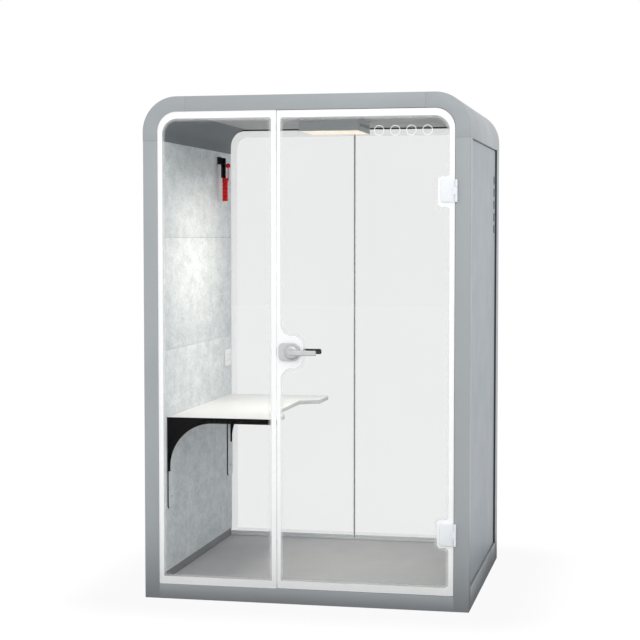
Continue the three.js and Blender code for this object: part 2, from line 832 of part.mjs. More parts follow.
// Emergency hammer in its holder, high on the left wall
function addHammer() {
  const y = podDepth - hammerFromRear;
  const plateFace = wallFace + holderThickness;
  const gripX = wallFace + hammerFromWall;
  const gripTop = hammerBottom + hammerGripLength;
  const headBottom = gripTop + gap;
  const headTop = headBottom + hammerHeadHeight;
  const bandBottom = headTop - hammerHeadBand;
  const headLeft = plateFace + gap;
  const headRight = wallFace + hammerHeadReach;
  const neckLeft = headRight - hammerNeckWidth;
  const jawRight = plateFace + jawReach;
  const head = [
    point(neckLeft, headBottom),
    point(headRight, headBottom),
    point(headRight, headTop),
    point(headLeft, headTop),
    point(headLeft, bandBottom),
    point(jawRight + gap, bandBottom),
    point(neckLeft, headBottom + hammerNeckHeight),
  ];
  const headFront = y - hammerHeadThickness / 2;
  add('hammer_head', plateXZ(outline(head), headFront, headFront + hammerHeadThickness), blackPaint);

  const knobX = wallFace + hammerKnobFromWall;
  const knobZ = headBottom + hammerKnobRise;
  const grip = rodAlongZ(gripX, y, hammerBottom, gripTop, hammerGripRadius);
  const stem = rodAlongZ(knobX, y, gripTop - hammerGripRadius, knobZ, hammerStemRadius);
  const knob = new THREE.SphereGeometry(hammerKnobRadius, arcSteps, arcSteps / 2);
  knob.translate(knobX, y, knobZ);
  const foot = box(
    gripX, knobX + hammerStemRadius,
    y - hammerStemRadius, y + hammerStemRadius, gripTop - hammerGripRadius, gripTop,
  );
  add('hammer_handle', join(grip, foot, stem, knob), redPlastic);

  const jawTop = headTop + gap + jawThickness;
  const jawBottom = bandBottom - gap - jawThickness;
  const half = holderWidth / 2;
  const block = box(wallFace, jawRight, y - half, y + half, jawBottom, jawTop);
  const mouth = box(
    plateFace, jawRight + gap,
    y - half - gap, y + half + gap, bandBottom - gap, headTop + gap,
  );
  add('hammer_holder', cut(block, mouth), darkPlastic);
}

addFrame();
addShell();
addLining();
addLightUnit();
addGlazing();
addHinges();
addLock();
addDesk();
addSocket();
addHammer();

export default pod;
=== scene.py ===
"""Dresses the acoustic office pod: frame, lining, glazing, door hardware, desk, fittings and finishes."""

import math

import bpy
from mathutils import Matrix, Vector


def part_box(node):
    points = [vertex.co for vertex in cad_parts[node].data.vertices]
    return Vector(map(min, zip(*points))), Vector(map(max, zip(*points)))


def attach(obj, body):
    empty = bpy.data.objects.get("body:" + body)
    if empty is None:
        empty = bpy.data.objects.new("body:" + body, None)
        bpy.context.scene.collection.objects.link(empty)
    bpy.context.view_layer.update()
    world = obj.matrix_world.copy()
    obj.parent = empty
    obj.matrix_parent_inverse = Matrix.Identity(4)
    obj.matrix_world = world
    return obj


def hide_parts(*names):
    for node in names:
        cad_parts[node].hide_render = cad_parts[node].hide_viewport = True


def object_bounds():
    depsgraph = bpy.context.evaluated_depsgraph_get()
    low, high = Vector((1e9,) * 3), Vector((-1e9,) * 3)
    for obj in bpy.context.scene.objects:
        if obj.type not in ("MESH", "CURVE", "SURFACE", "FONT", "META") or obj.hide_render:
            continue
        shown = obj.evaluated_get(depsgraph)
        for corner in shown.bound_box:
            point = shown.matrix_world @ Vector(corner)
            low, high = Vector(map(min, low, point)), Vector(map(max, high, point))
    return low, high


bl_info = {
    "name": "Acoustic office pod",
    "version": (1, 0, 0),
    "blender": (4, 5, 0),
    "location": "View3D > Sidebar > Pod",
    "description": "Models and finishes a glazed acoustic pod around its packed frame",
    "category": "Object",
}

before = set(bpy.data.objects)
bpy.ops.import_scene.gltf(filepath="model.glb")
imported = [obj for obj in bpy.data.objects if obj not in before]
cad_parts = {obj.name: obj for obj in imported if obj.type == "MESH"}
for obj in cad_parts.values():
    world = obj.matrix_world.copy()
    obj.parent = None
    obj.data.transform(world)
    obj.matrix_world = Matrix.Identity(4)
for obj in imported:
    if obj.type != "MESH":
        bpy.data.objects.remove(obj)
CAD_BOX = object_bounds()

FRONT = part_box("front_post_left")[0][1]
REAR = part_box("rear_post_left")[1][1]
SIDES = {"left": -1, "right": 1}
CLEARANCE = 0.0003  # between neighbouring solids
SEAM_CLOSE = 0.0006  # how far a felt board closes the seam to its neighbour
SHEET_EDGE = 0.0006  # rounding of the outer panels
FELT_EDGE = 0.001  # rounding of the boards on the walls
PRINT_LIFT = 0.00004  # between a pane and its print
BAND_COVER = (0.30, 0.17, 0.07)  # cover of the haze inside the white print, strip by strip
PANE_CORNER = 0.090  # radius of the panes at the frame's top corners
NEAR = 1e-4  # how close an edge has to be to a plane
EXACT = 1e-5  # how close a face or point has to be to a plane
ALONG = 0.9  # how well an edge or a face has to follow a direction


# Settings

COLOUR = {"subtype": "COLOR", "size": 3, "min": 0.0, "max": 1.0}
BORDER = {"unit": "LENGTH", "min": 0.005, "max": 0.08}
POWER = {"subtype": "POWER", "unit": "POWER", "min": 0.0}


class PodFinishes(bpy.types.PropertyGroup):
    """Colours of the pod's finishes."""

    frame_grey: bpy.props.FloatVectorProperty(
        name="Frame paint", description="Powder coat on the frame profiles",
        default=(0.356, 0.382, 0.400), **COLOUR)
    panel_grey: bpy.props.FloatVectorProperty(
        name="Panel paint", description="Powder coat on the outer panels",
        default=(0.320, 0.365, 0.396), **COLOUR)
    felt_light: bpy.props.FloatVectorProperty(
        name="Felt, light fibres", description="Palest tone in the pressed felt",
        default=(0.838, 0.866, 0.878), **COLOUR)
    felt_dark: bpy.props.FloatVectorProperty(
        name="Felt, dark fibres", description="Darkest tone in the pressed felt",
        default=(0.555, 0.597, 0.620), **COLOUR)
    carpet_grey: bpy.props.FloatVectorProperty(
        name="Carpet", description="Mid tone of the carpet pile",
        default=(0.495, 0.498, 0.50), **COLOUR)
    lining_grey: bpy.props.FloatVectorProperty(
        name="Ceiling lining", description="Acoustic board of the ceiling",
        default=(0.42, 0.425, 0.425), **COLOUR)
    cove_grey: bpy.props.FloatVectorProperty(
        name="Cove lining", description="Darker board of the coves between walls and ceiling",
        default=(0.187, 0.207, 0.220), **COLOUR)
    print_white: bpy.props.FloatVectorProperty(
        name="Glass print", description="White print along the edges of the panes",
        default=(0.965, 0.97, 0.975), **COLOUR)
    light_glow: bpy.props.FloatVectorProperty(
        name="Light panel", description="Glow of the ceiling light",
        default=(1.0, 0.87, 0.69), **COLOUR)


class PodTrim(bpy.types.PropertyGroup):
    """Sizes of edges, prints and seams."""

    edge_radius: bpy.props.FloatProperty(
        name="Profile edge", description="Rounding along the frame's outer edges",
        unit="LENGTH", min=0.001, max=0.02, default=0.005)
    joint_radius: bpy.props.FloatProperty(
        name="Joint edge", description="Rounding where two frame pieces meet",
        unit="LENGTH", min=0.0003, max=0.004, default=0.0006)
    border_side: bpy.props.FloatProperty(
        name="Side border", description="Width of the print along the frame", default=0.023, **BORDER)
    border_door: bpy.props.FloatProperty(
        name="Door edge border", description="Width of the print along the door's free edge",
        default=0.017, **BORDER)
    border_top: bpy.props.FloatProperty(
        name="Top border", description="Width of the print along the top", default=0.032, **BORDER)
    border_bottom: bpy.props.FloatProperty(
        name="Bottom border", description="Width of the print along the bottom", default=0.035, **BORDER)
    border_corner: bpy.props.FloatProperty(
        name="Border corner", description="Inner radius of the print at the top corners",
        unit="LENGTH", min=0.005, max=0.09, default=0.070)
    band_width: bpy.props.FloatProperty(
        name="Shaded band", description="Width of the translucent band inside the print",
        unit="LENGTH", min=0.002, max=0.04, default=0.015)
    print_thickness: bpy.props.FloatProperty(
        name="Print thickness", description="Thickness of the print on the glass",
        unit="LENGTH", min=0.00005, max=0.00025, default=0.00016)


class PodStage(bpy.types.PropertyGroup):
    """Camera and studio light."""

    camera_place: bpy.props.FloatVectorProperty(
        name="Camera place", description="Where the camera stands",
        subtype="TRANSLATION", size=3, default=(1.5651, -7.6760, 1.6687))
    camera_turn: bpy.props.FloatVectorProperty(
        name="Camera turn", description="Tilt, roll and heading of the camera",
        subtype="EULER", size=3, default=(math.radians(87.011), 0.0, math.radians(11.926)))
    lens: bpy.props.FloatProperty(
        name="Lens", description="Focal length on a 36 mm sensor",
        subtype="DISTANCE_CAMERA", min=20.0, max=200.0, default=90.68)
    sky_strength: bpy.props.FloatProperty(
        name="Fill light", description="Strength of the even light from all round",
        min=0.0, max=3.0, default=1.0)
    key_power: bpy.props.FloatProperty(
        name="Key light", description="Power of the large lamp above the front",
        default=38.0, max=5000.0, **POWER)
    cabin_power: bpy.props.FloatProperty(
        name="Cabin light", description="Power of the light that the ceiling panel throws down",
        default=2.0, max=200.0, **POWER)
    wash_power: bpy.props.FloatProperty(
        name="Wall wash", description="Power of the light that the ceiling panel throws on each side wall",
        default=2.0, max=50.0, **POWER)


def trim():
    """The pod's trim settings."""
    return bpy.context.scene.pod_trim


# Modelling tools

def start_clean():
    """Leaves edit mode and deselects everything."""
    if bpy.context.object and bpy.context.object.mode != "OBJECT":
        leave_edit()
    bpy.ops.object.select_all(action="DESELECT")


def edit_whole():
    """Enters edit mode with everything selected."""
    bpy.ops.object.mode_set(mode="EDIT")
    bpy.ops.mesh.select_all(action="SELECT")


def leave_edit():
    """Goes back to object mode."""
    bpy.ops.object.mode_set(mode="OBJECT")


def take(piece):
    """Makes one piece the only selected and active object."""
    start_clean()
    piece.select_set(True)
    bpy.context.view_layer.objects.active = piece


def call(piece, name):
    """Names a piece and its mesh."""
    piece.name = name
    piece.data.name = name
    return piece


def tidy(piece):
    """Merges doubled points and turns every face outwards."""
    take(piece)
    edit_whole()
    bpy.ops.mesh.remove_doubles(threshold=EXACT)
    bpy.ops.mesh.normals_make_consistent(inside=False)
    leave_edit()
    return piece


def keep_transform():
    """Keeps the active piece's place in its mesh."""
    bpy.ops.object.transform_apply(location=True, rotation=True, scale=True)


def place(piece, matrix):
    """Moves a piece by a matrix and keeps the move in its mesh."""
    take(piece)
    piece.matrix_world = matrix
    keep_transform()
    return piece


def apply_modifier(piece, modifier):
    """Applies one modifier to its piece."""
    take(piece)
    bpy.ops.object.modifier_apply(modifier=modifier.name)
    return piece


def add_block(name, low, high):
    """Adds a box between two corners."""
    low, high = Vector(low), Vector(high)
    start_clean()
    bpy.ops.mesh.primitive_cube_add(size=1.0)
    piece = call(bpy.context.object, name)
    edit_whole()
    bpy.ops.transform.resize(value=high - low, center_override=(0.0, 0.0, 0.0))
    bpy.ops.transform.translate(value=(low + high) / 2)
    leave_edit()
    return piece


def round_edges(piece, width, segments=3, angle=35.0):
    """Rounds every edge of a piece that is sharper than an angle."""
    modifier = piece.modifiers.new("rounding", "BEVEL")
    modifier.width = width
    modifier.segments = segments
    modifier.limit_method = "ANGLE"
    modifier.angle_limit = math.radians(angle)
    modifier.harden_normals = False
    return apply_modifier(piece, modifier)


def round_rims(piece, width, segments):
    """Rounds the rims of a plate, but not the steps of its outline."""
    return round_edges(piece, width, segments, angle=60.0)


def fill_node(name, node, rounding, segments=2):
    """Adds a rounded block that fills a node's box."""
    return round_edges(add_block(name, *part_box(node)), rounding, segments)


def round_chosen(piece, test, width, segments=4):
    """Rounds the edges whose middle and direction pass a test."""
    take(piece)
    bpy.ops.object.mode_set(mode="EDIT")
    bpy.ops.mesh.select_mode(type="EDGE")
    bpy.ops.mesh.select_all(action="DESELECT")
    leave_edit()
    points = piece.data.vertices
    for edge in piece.data.edges:
        a, b = points[edge.vertices[0]].co, points[edge.vertices[1]].co
        edge.select = test((a + b) / 2, (b - a).normalized())
    bpy.ops.object.mode_set(mode="EDIT")
    bpy.ops.mesh.bevel(offset=width, segments=segments, affect="EDGES")
    bpy.ops.mesh.select_mode(type="VERT")
    leave_edit()
    return piece


def smooth(piece):
    """Shades gentle turns smooth and keeps sharp edges."""
    take(piece)
    bpy.ops.object.shade_smooth_by_angle(angle=math.radians(32.0))
    return piece


def in_xy(u, v, w):
    """Point of a level outline."""
    return Vector((u, v, w))


def in_xz(u, v, w):
    """Point of an outline that faces the door side."""
    return Vector((u, w, v))


def in_yz(u, v, w):
    """Point of an outline that lies against a side wall."""
    return Vector((w, u, v))


def add_plate(name, outline, plane, low, high):
    """Cuts a plate of one outline, from the depth low to the depth high."""
    start_clean()
    bpy.ops.mesh.primitive_circle_add(vertices=len(outline), fill_type="NGON")
    piece = call(bpy.context.object, name)
    for point, (u, v) in zip(piece.data.vertices, outline):
        point.co = plane(u, v, low)
    edit_whole()
    step = plane(0.0, 0.0, high) - plane(0.0, 0.0, low)
    bpy.ops.mesh.extrude_region_move(TRANSFORM_OT_translate={"value": step})
    leave_edit()
    return tidy(piece)


def add_pierced_plate(name, outlines, plane, low, high):
    """Cuts a plate of a first outline with holes of the other outlines."""
    start_clean()
    curve = bpy.data.curves.new(name, "CURVE")
    curve.dimensions = "2D"
    curve.fill_mode = "BOTH"
    curve.extrude = (high - low) / 2
    for outline in outlines:
        spline = curve.splines.new("POLY")
        spline.points.add(len(outline) - 1)
        for point, (u, v) in zip(spline.points, outline):
            point.co = (u, v, 0.0, 1.0)
        spline.use_cyclic_u = True
    piece = bpy.data.objects.new(name, curve)
    bpy.context.collection.objects.link(piece)
    take(piece)
    bpy.ops.object.convert(target="MESH")
    piece = call(bpy.context.object, name)
    axes = [plane(*unit) for unit in ((1.0, 0.0, 0.0), (0.0, 1.0, 0.0), (0.0, 0.0, 1.0))]
    turn = Matrix(axes).transposed().to_4x4()
    place(piece, Matrix.Translation(plane(0.0, 0.0, (low + high) / 2)) @ turn)
    return tidy(piece)


def add_turned(name, profile, matrix, around=48):
    """Builds a round piece along its own axis from rings of (height, radius)."""
    start_clean()
    height, radius = profile[0]
    bpy.ops.mesh.primitive_circle_add(
        vertices=around, radius=radius, location=(0.0, 0.0, height), fill_type="NGON")
    piece = call(bpy.context.object, name)
    keep_transform()
    edit_whole()
    for next_height, next_radius in profile[1:]:
        rise = (0.0, 0.0, next_height - height)
        bpy.ops.mesh.extrude_region_move(TRANSFORM_OT_translate={"value": rise})
        grow = next_radius / radius
        bpy.ops.transform.resize(value=(grow, grow, 1.0), center_override=(0.0, 0.0, next_height))
        height, radius = next_height, next_radius
    leave_edit()
    place(piece, matrix)
    return tidy(piece)


def upright(x, y, z):
    """Place of a turned piece that stands upright."""
    return Matrix.Translation((x, y, z))


def towards_front(x, y, z):
    """Place of a turned piece whose axis runs towards the door side."""
    return upright(x, y, z) @ Matrix.Rotation(math.radians(90.0), 4, "X")


def towards_rear(x, y, z):
    """Place of a turned piece whose axis runs towards the rear."""
    return upright(x, y, z) @ Matrix.Rotation(math.radians(-90.0), 4, "X")


def rod_profile(length, radius, rim):
    """Rings of a plain rod with rounded rims."""
    turns = [math.radians(step * 30.0) for step in range(4)]
    foot = [(rim - rim * math.cos(t), radius - rim + rim * math.sin(t)) for t in turns]
    return foot + [(length - height, width) for height, width in reversed(foot)]


def combine(piece, operation, others):
    """Joins other pieces to a piece or cuts them out of it, and removes them."""
    for other in others:
        modifier = piece.modifiers.new(operation, "BOOLEAN")
        modifier.operation = operation
        modifier.solver = "EXACT"
        modifier.object = other
        apply_modifier(piece, modifier)
        bpy.data.objects.remove(other)
    return piece


def weld(piece, *others):
    """Joins other pieces to a piece as one solid."""
    return combine(piece, "UNION", others)


def carve(piece, *tools):
    """Cuts other pieces out of a piece."""
    return combine(piece, "DIFFERENCE", tools)


def fillet(corners, steps=10):
    """Turns corners given as (u, v, radius) into a closed outline with rounded corners."""
    outline = []
    for index, (u, v, radius) in enumerate(corners):
        here = Vector((u, v))
        if radius <= 0.0:
            outline.append(here)
            continue
        back = (Vector(corners[index - 1][:2]) - here).normalized()
        ahead = (Vector(corners[(index + 1) % len(corners)][:2]) - here).normalized()
        half = back.angle(ahead) / 2
        middle = here + (back + ahead).normalized() * (radius / math.sin(half))
        start = here + back * (radius / math.tan(half)) - middle
        end = here + ahead * (radius / math.tan(half)) - middle
        first = math.atan2(start.y, start.x)
        sweep = (math.atan2(end.y, end.x) - first + math.pi) % (2 * math.pi) - math.pi
        for step in range(steps + 1):
            angle = first + sweep * step / steps
            outline.append(middle + radius * Vector((math.cos(angle), math.sin(angle))))
    return outline


def rectangle(left, right, bottom, top, radius=0.0, steps=10):
    """Outline of a rectangle with one corner radius, or four that go round from its lower left."""
    radii = radius if isinstance(radius, tuple) else (radius,) * 4
    corners = ((left, bottom), (right, bottom), (right, top), (left, top))
    return fillet([(u, v, bend) for (u, v), bend in zip(corners, radii)], steps)


def rectangle_about(u, v, half_u, half_v, radius, steps):
    """Outline of a rectangle about its middle."""
    return rectangle(u - half_u, u + half_u, v - half_v, v + half_v, radius, steps)


def circle(u, v, radius, steps=40):
    """Outline of a circle."""
    turns = [2 * math.pi * step / steps for step in range(steps)]
    return [Vector((u + radius * math.cos(turn), v + radius * math.sin(turn))) for turn in turns]


def mirrored(outline, side):
    """Outline on the left or the right."""
    return [Vector((side * u, v)) for u, v in outline]


def right_hand(node, side):
    """A node's inner and outer x as they would be on the right, and its corners."""
    low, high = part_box(node)
    inner, outer = (low[0], high[0]) if side > 0 else (-high[0], -low[0])
    return inner, outer, low, high


def wear(piece, body, slot, *finishes, node=None):
    """Gives a piece its body, its finishes and the node that it replaces. The slot is not used."""
    piece.data.materials.clear()
    for name in finishes:
        piece.data.materials.append(finish(name))
    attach(piece, body)
    if node:
        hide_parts(node)
    return piece


def settle(piece, body, slot, *finishes, node=None):
    """Smooths a modelled piece and finishes it."""
    return wear(smooth(piece), body, slot, *finishes, node=node)


def second_finish(piece, test):
    """Puts a piece's second finish on the faces that pass a test."""
    for face in piece.data.polygons:
        face.material_index = 1 if test(face) else 0


def paint_node(node, name):
    """Gives a CAD node a better finish."""
    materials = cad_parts[node].data.materials
    materials.clear()
    materials.append(finish(name))


# Finishes

WHITE = (1.0, 1.0, 1.0, 1.0)
COAT = (900.0, 0.06, 0.0003)
EVEN = (4.0, 220.0, 0.3)
BOARD = ((5.0, 500.0, 0.4), (650.0, 0.2, 0.0006), (0.75, 0.9), {})
MATT = (EVEN, (900.0, 0.1, 0.0004), (0.6, 0.75))

# The plain surfaces. Each row has a dark and a light tone, the scale of clouds, the scale of flecks and
# their share, the scale, strength and depth of grain, the range of roughness and other looks.
# A tone is a colour, or a setting and a factor.
SURFACES = {
    # Satin powder coats of the frame and the outer panels
    "Frame paint": (("frame_grey", 0.96), ("frame_grey", 1.03), (2.0, 300.0, 0.2), COAT, (0.36, 0.46), {}),
    "Panel paint": (("panel_grey", 0.96), ("panel_grey", 1.03), (1.6, 300.0, 0.2), COAT, (0.4, 0.5), {}),
    # Felt with cloudy light and dark fibres, and short carpet pile
    "Pressed felt": (("felt_dark", 1.0), ("felt_light", 1.0), (27.0, 150.0, 0.4), (420.0, 0.35, 0.0015),
                     (0.9, 1.0), {"low": 0.32, "high": 0.66, "stretch": (1.0, 0.32, 0.6)}),
    "Carpet pile": (("carpet_grey", 0.84), ("carpet_grey", 1.14), (9.0, 420.0, 0.7), (520.0, 0.6, 0.003),
                    (0.9, 1.0), {"low": 0.3, "high": 0.7, "sheen": 0.1}),
    # Acoustic boards, and the wool inside the walls, near black as painted shade where the vents and panel
    # gaps show it
    "Ceiling lining": (("lining_grey", 0.9), ("lining_grey", 1.1), *BOARD),
    "Cove lining": (("cove_grey", 0.9), ("cove_grey", 1.1), *BOARD),
    "Skirting lining": ((0.225, 0.2295, 0.234), (0.275, 0.2805, 0.286), *BOARD),
    "Acoustic wool": ((0.05, 0.052, 0.054), (0.10, 0.103, 0.106), (30.0, 300.0, 0.5), (260.0, 0.7, 0.004),
                      (0.92, 1.0), {}),
    # Painted shade: dark tones on the faces in the shadow gaps beside the panels, for the shade that falls
    # there
    "Dark primer": ((0.04675, 0.04845, 0.051), (0.06325, 0.06555, 0.069), *MATT, {"gloss": 0.1}),
    "Mid primer": ((0.1615, 0.17, 0.1785), (0.2185, 0.23, 0.2415), *MATT, {"gloss": 0.1}),
    # Seals round the front panes and between the rear panes
    "Grey seal rubber": ((0.30, 0.31, 0.32), (0.36, 0.37, 0.38), *MATT, {}),
    # Ceiling unit
    "Light housing paint": ((0.46, 0.49, 0.50), (0.51, 0.54, 0.55), EVEN, (900.0, 0.05, 0.0004),
                            (0.4, 0.5), {}),
    # Door hardware
    "White hinge paint": ((0.81, 0.85, 0.89), (0.87, 0.90, 0.92), (14.0, 400.0, 0.3),
                          (1200.0, 0.04, 0.0002), (0.28, 0.38), {}),
    "Satin metal": ((0.56, 0.575, 0.59), (0.66, 0.67, 0.68), (20.0, 900.0, 0.3), (2200.0, 0.08, 0.0001),
                    (0.38, 0.48), {"metallic": 0.75}),
    "Dark moulded plastic": ((0.018, 0.019, 0.021), (0.032, 0.033, 0.036), (12.0, 600.0, 0.3),
                             (1200.0, 0.15, 0.0002), (0.42, 0.58), {}),
    # Desk
    "White laminate": ((0.91, 0.91, 0.90), (0.96, 0.96, 0.95), (5.0, 350.0, 0.3), (1100.0, 0.05, 0.0002),
                       (0.32, 0.42), {}),
    "Desk edge band": ((0.70, 0.71, 0.71), (0.78, 0.79, 0.79), (8.0, 400.0, 0.3), (900.0, 0.06, 0.0004),
                       (0.45, 0.55), {}),
    "Black powder coat": ((0.003, 0.003, 0.003), (0.006, 0.006, 0.006), (10.0, 500.0, 0.3),
                          (1300.0, 0.1, 0.0002), (0.5, 0.62), {"gloss": 0.04}),
    # Socket and hammer
    "White moulded plastic": ((0.92, 0.92, 0.91), (0.96, 0.96, 0.95), (18.0, 600.0, 0.3),
                              (1500.0, 0.04, 0.0002), (0.28, 0.38), {}),
    "Red moulded plastic": ((0.58, 0.004, 0.004), (0.70, 0.006, 0.006), (20.0, 500.0, 0.3),
                            (1100.0, 0.08, 0.0002), (0.3, 0.42), {"gloss": 0.15}),
    # Print on the panes
    "White enamel print": (("print_white", 0.97), ("print_white", 1.02), (6.0, 500.0, 0.2),
                           (1800.0, 0.02, 0.0001), (0.22, 0.3), {}),
}

# Grey tone and cover of each translucent print
HAZES = {
    "Shaded enamel band 1": (0.84, BAND_COVER[0]),
    "Shaded enamel band 2": (0.84, BAND_COVER[1]),
    "Shaded enamel band 3": (0.84, BAND_COVER[2]),
    "Rear enamel haze": (0.93, 0.13),
    "Grey enamel foot": (0.80, 0.9),
}


def feed(tree, node, inputs):
    """Sets a node's inputs to values or links them to other nodes' outputs."""
    for label, value in inputs.items():
        if isinstance(value, bpy.types.NodeSocket):
            tree.links.new(value, node.inputs[label])
        else:
            node.inputs[label].default_value = value


def add_node(tree, kind, inputs=None, **settings):
    """Adds a shader node with its settings and inputs."""
    node = tree.nodes.new(f"ShaderNode{kind}")
    for setting, value in settings.items():
        setattr(node, setting, value)
    feed(tree, node, inputs or {})
    return node


def object_place(tree):
    """Place of a shaded point on its piece."""
    return add_node(tree, "TexCoord").outputs["Object"]


def any_ray(tree, *kinds):
    """One for rays of the given kinds and zero for other rays."""
    rays = add_node(tree, "LightPath").outputs
    mask = rays[kinds[0]]
    for kind in kinds[1:]:
        mask = add_node(tree, "Math", {0: mask, 1: rays[kind]}, operation="MAXIMUM").outputs["Value"]
    return mask


def show_mix(tree, output, share, usual, special):
    """Shows the usual shader, with a share of a special one."""
    choose = add_node(tree, "MixShader", {"Fac": share, 1: usual, 2: special})
    feed(tree, tree.nodes[output], {"Surface": choose.outputs["Shader"]})


def new_group(name, inputs, outputs):
    """Starts a shader node group with named sockets; gives it, its inputs and its output node."""
    group = bpy.data.node_groups.new(name, "ShaderNodeTree")
    for label, kind, default in inputs:
        socket = group.interface.new_socket(label, in_out="INPUT", socket_type=f"NodeSocket{kind}")
        socket.default_value = default
    for label, kind in outputs:
        group.interface.new_socket(label, in_out="OUTPUT", socket_type=f"NodeSocket{kind}")
    return group, group.nodes.new("NodeGroupInput").outputs, group.nodes.new("NodeGroupOutput")


def mottle_group():
    """Cloudy colour between two tones, with finer flecks inside it."""
    name = "Mottled tone"
    if name in bpy.data.node_groups:
        return bpy.data.node_groups[name]
    group, given, result = new_group(name, (
        ("Dark", "Color", (0.3, 0.3, 0.3, 1.0)),
        ("Light", "Color", (0.6, 0.6, 0.6, 1.0)),
        ("Cloud Scale", "Float", 12.0),
        ("Fleck Scale", "Float", 180.0),
        ("Fleck Share", "Float", 0.35),
        ("Low", "Float", 0.35),
        ("High", "Float", 0.65),
        ("Stretch", "Vector", (1.0, 1.0, 1.0)),
    ), (("Color", "Color"), ("Mask", "Float")))
    spread = add_node(group, "Mapping", {"Vector": object_place(group), "Scale": given["Stretch"]})
    cloud = add_node(group, "TexNoise", {
        "Vector": spread.outputs["Vector"], "Scale": given["Cloud Scale"], "Detail": 7.0, "Roughness": 0.62})
    fleck = add_node(group, "TexNoise", {
        "Vector": spread.outputs["Vector"], "Scale": given["Fleck Scale"], "Detail": 3.0})
    blend = add_node(group, "Mix", {
        "Factor": given["Fleck Share"], "A": cloud.outputs["Fac"], "B": fleck.outputs["Fac"]})
    mask = add_node(group, "MapRange", {
        "Value": blend.outputs["Result"], "From Min": given["Low"], "From Max": given["High"]})
    tone = add_node(group, "Mix", {
        "Factor": mask.outputs["Result"], "A": given["Dark"], "B": given["Light"]}, data_type="RGBA")
    feed(group, result, {"Color": tone.outputs["Result"], "Mask": mask.outputs["Result"]})
    return group


def grain_group():
    """Fine surface grain: a height for bumps and a value for roughness."""
    name = "Surface grain"
    if name in bpy.data.node_groups:
        return bpy.data.node_groups[name]
    group, given, result = new_group(name, (
        ("Scale", "Float", 600.0),
        ("Smear Scale", "Float", 6.0),
        ("Rough Low", "Float", 0.35),
        ("Rough High", "Float", 0.5),
    ), (("Height", "Float"), ("Roughness", "Float")))
    place_of = object_place(group)
    grain = add_node(group, "TexNoise", {"Vector": place_of, "Scale": given["Scale"], "Detail": 2.0})
    smear = add_node(group, "TexNoise", {"Vector": place_of, "Scale": given["Smear Scale"], "Detail": 5.0})
    spread = add_node(group, "MapRange", {
        "Value": smear.outputs["Fac"], "From Min": 0.3, "From Max": 0.7,
        "To Min": given["Rough Low"], "To Max": given["Rough High"]})
    feed(group, result, {"Height": grain.outputs["Fac"], "Roughness": spread.outputs["Result"]})
    return group


def new_finish(name):
    """Starts a material and returns its node tree and shader."""
    material = bpy.data.materials.new(name)
    material.use_nodes = True
    return material.node_tree, material.node_tree.nodes["Principled BSDF"]


def opaque(tone):
    """A tone with full alpha; a tone is a colour, or a setting and a factor."""
    if isinstance(tone[0], str):
        setting, factor = tone
        tone = [min(1.0, part * factor) for part in getattr(bpy.context.scene.pod_finishes, setting)]
    return (*tone, 1.0)


def add_mottle(tree, dark, light, **inputs):
    """Adds the mottled tone; other inputs are named as its sockets, with _ for a space."""
    sockets = {label.replace("_", " "): value for label, value in inputs.items()}
    return add_node(tree, "Group", {"Dark": opaque(dark), "Light": opaque(light), **sockets},
                    node_tree=mottle_group())


def surface(name, dark, light, clouds, grain, rough, low=0.35, high=0.65, stretch=(1.0, 1.0, 1.0),
            metallic=0.0, sheen=0.0, gloss=0.5):
    """A finish of mottled tone and fine grain."""
    tree, shader = new_finish(name)
    cloud_scale, fleck_scale, fleck_share = clouds
    grain_scale, bump, depth = grain
    tone = add_mottle(tree, dark, light, Cloud_Scale=cloud_scale, Fleck_Scale=fleck_scale,
                      Fleck_Share=fleck_share, Low=low, High=high, Stretch=stretch)
    texture = add_node(tree, "Group", {
        "Scale": grain_scale, "Rough Low": rough[0], "Rough High": rough[1]}, node_tree=grain_group())
    relief = add_node(tree, "Bump", {
        "Strength": bump, "Distance": depth, "Height": texture.outputs["Height"]})
    feed(tree, shader, {
        "Base Color": tone.outputs["Color"], "Roughness": texture.outputs["Roughness"],
        "Normal": relief.outputs["Normal"], "Metallic": metallic, "Sheen Weight": sheen,
        "Specular IOR Level": gloss})


def rear_rubber_and_shade(name):
    """Seal rubber round the rear panes: black above, partly real black rubber and partly painted shade for
    the dark line along the top of the panes, and light grey where it meets the floor.
    """
    tree, shader = new_finish(name)
    foot = add_mottle(tree, (0.72, 0.73, 0.74), (0.80, 0.81, 0.82))
    above = add_mottle(tree, (0.008, 0.008, 0.009), (0.018, 0.018, 0.02))
    split = add_node(tree, "SeparateXYZ", {"Vector": object_place(tree)})
    rise = add_node(tree, "MapRange", {"Value": split.outputs["Z"], "From Min": 0.10, "From Max": 0.14})
    blend = add_node(tree, "Mix", {
        "Factor": rise.outputs["Result"], "A": foot.outputs["Color"], "B": above.outputs["Color"],
    }, data_type="RGBA")
    feed(tree, shader, {"Base Color": blend.outputs["Result"], "Roughness": 0.68})


def plywood(name):
    """Plywood of the floor deck, with long grain."""
    tree, shader = new_finish(name)
    spread = add_node(tree, "Mapping", {"Vector": object_place(tree), "Scale": (3.0, 60.0, 60.0)})
    grain = add_node(tree, "TexNoise", {"Vector": spread.outputs["Vector"], "Scale": 2.5, "Detail": 8.0})
    tone = add_node(tree, "Mix", {
        "Factor": grain.outputs["Fac"], "A": (0.24, 0.15, 0.075, 1.0), "B": (0.44, 0.31, 0.18, 1.0),
    }, data_type="RGBA")
    relief = add_node(tree, "Bump", {"Strength": 0.25, "Distance": 0.001, "Height": grain.outputs["Fac"]})
    feed(tree, shader, {
        "Base Color": tone.outputs["Result"], "Normal": relief.outputs["Normal"], "Roughness": 0.75})


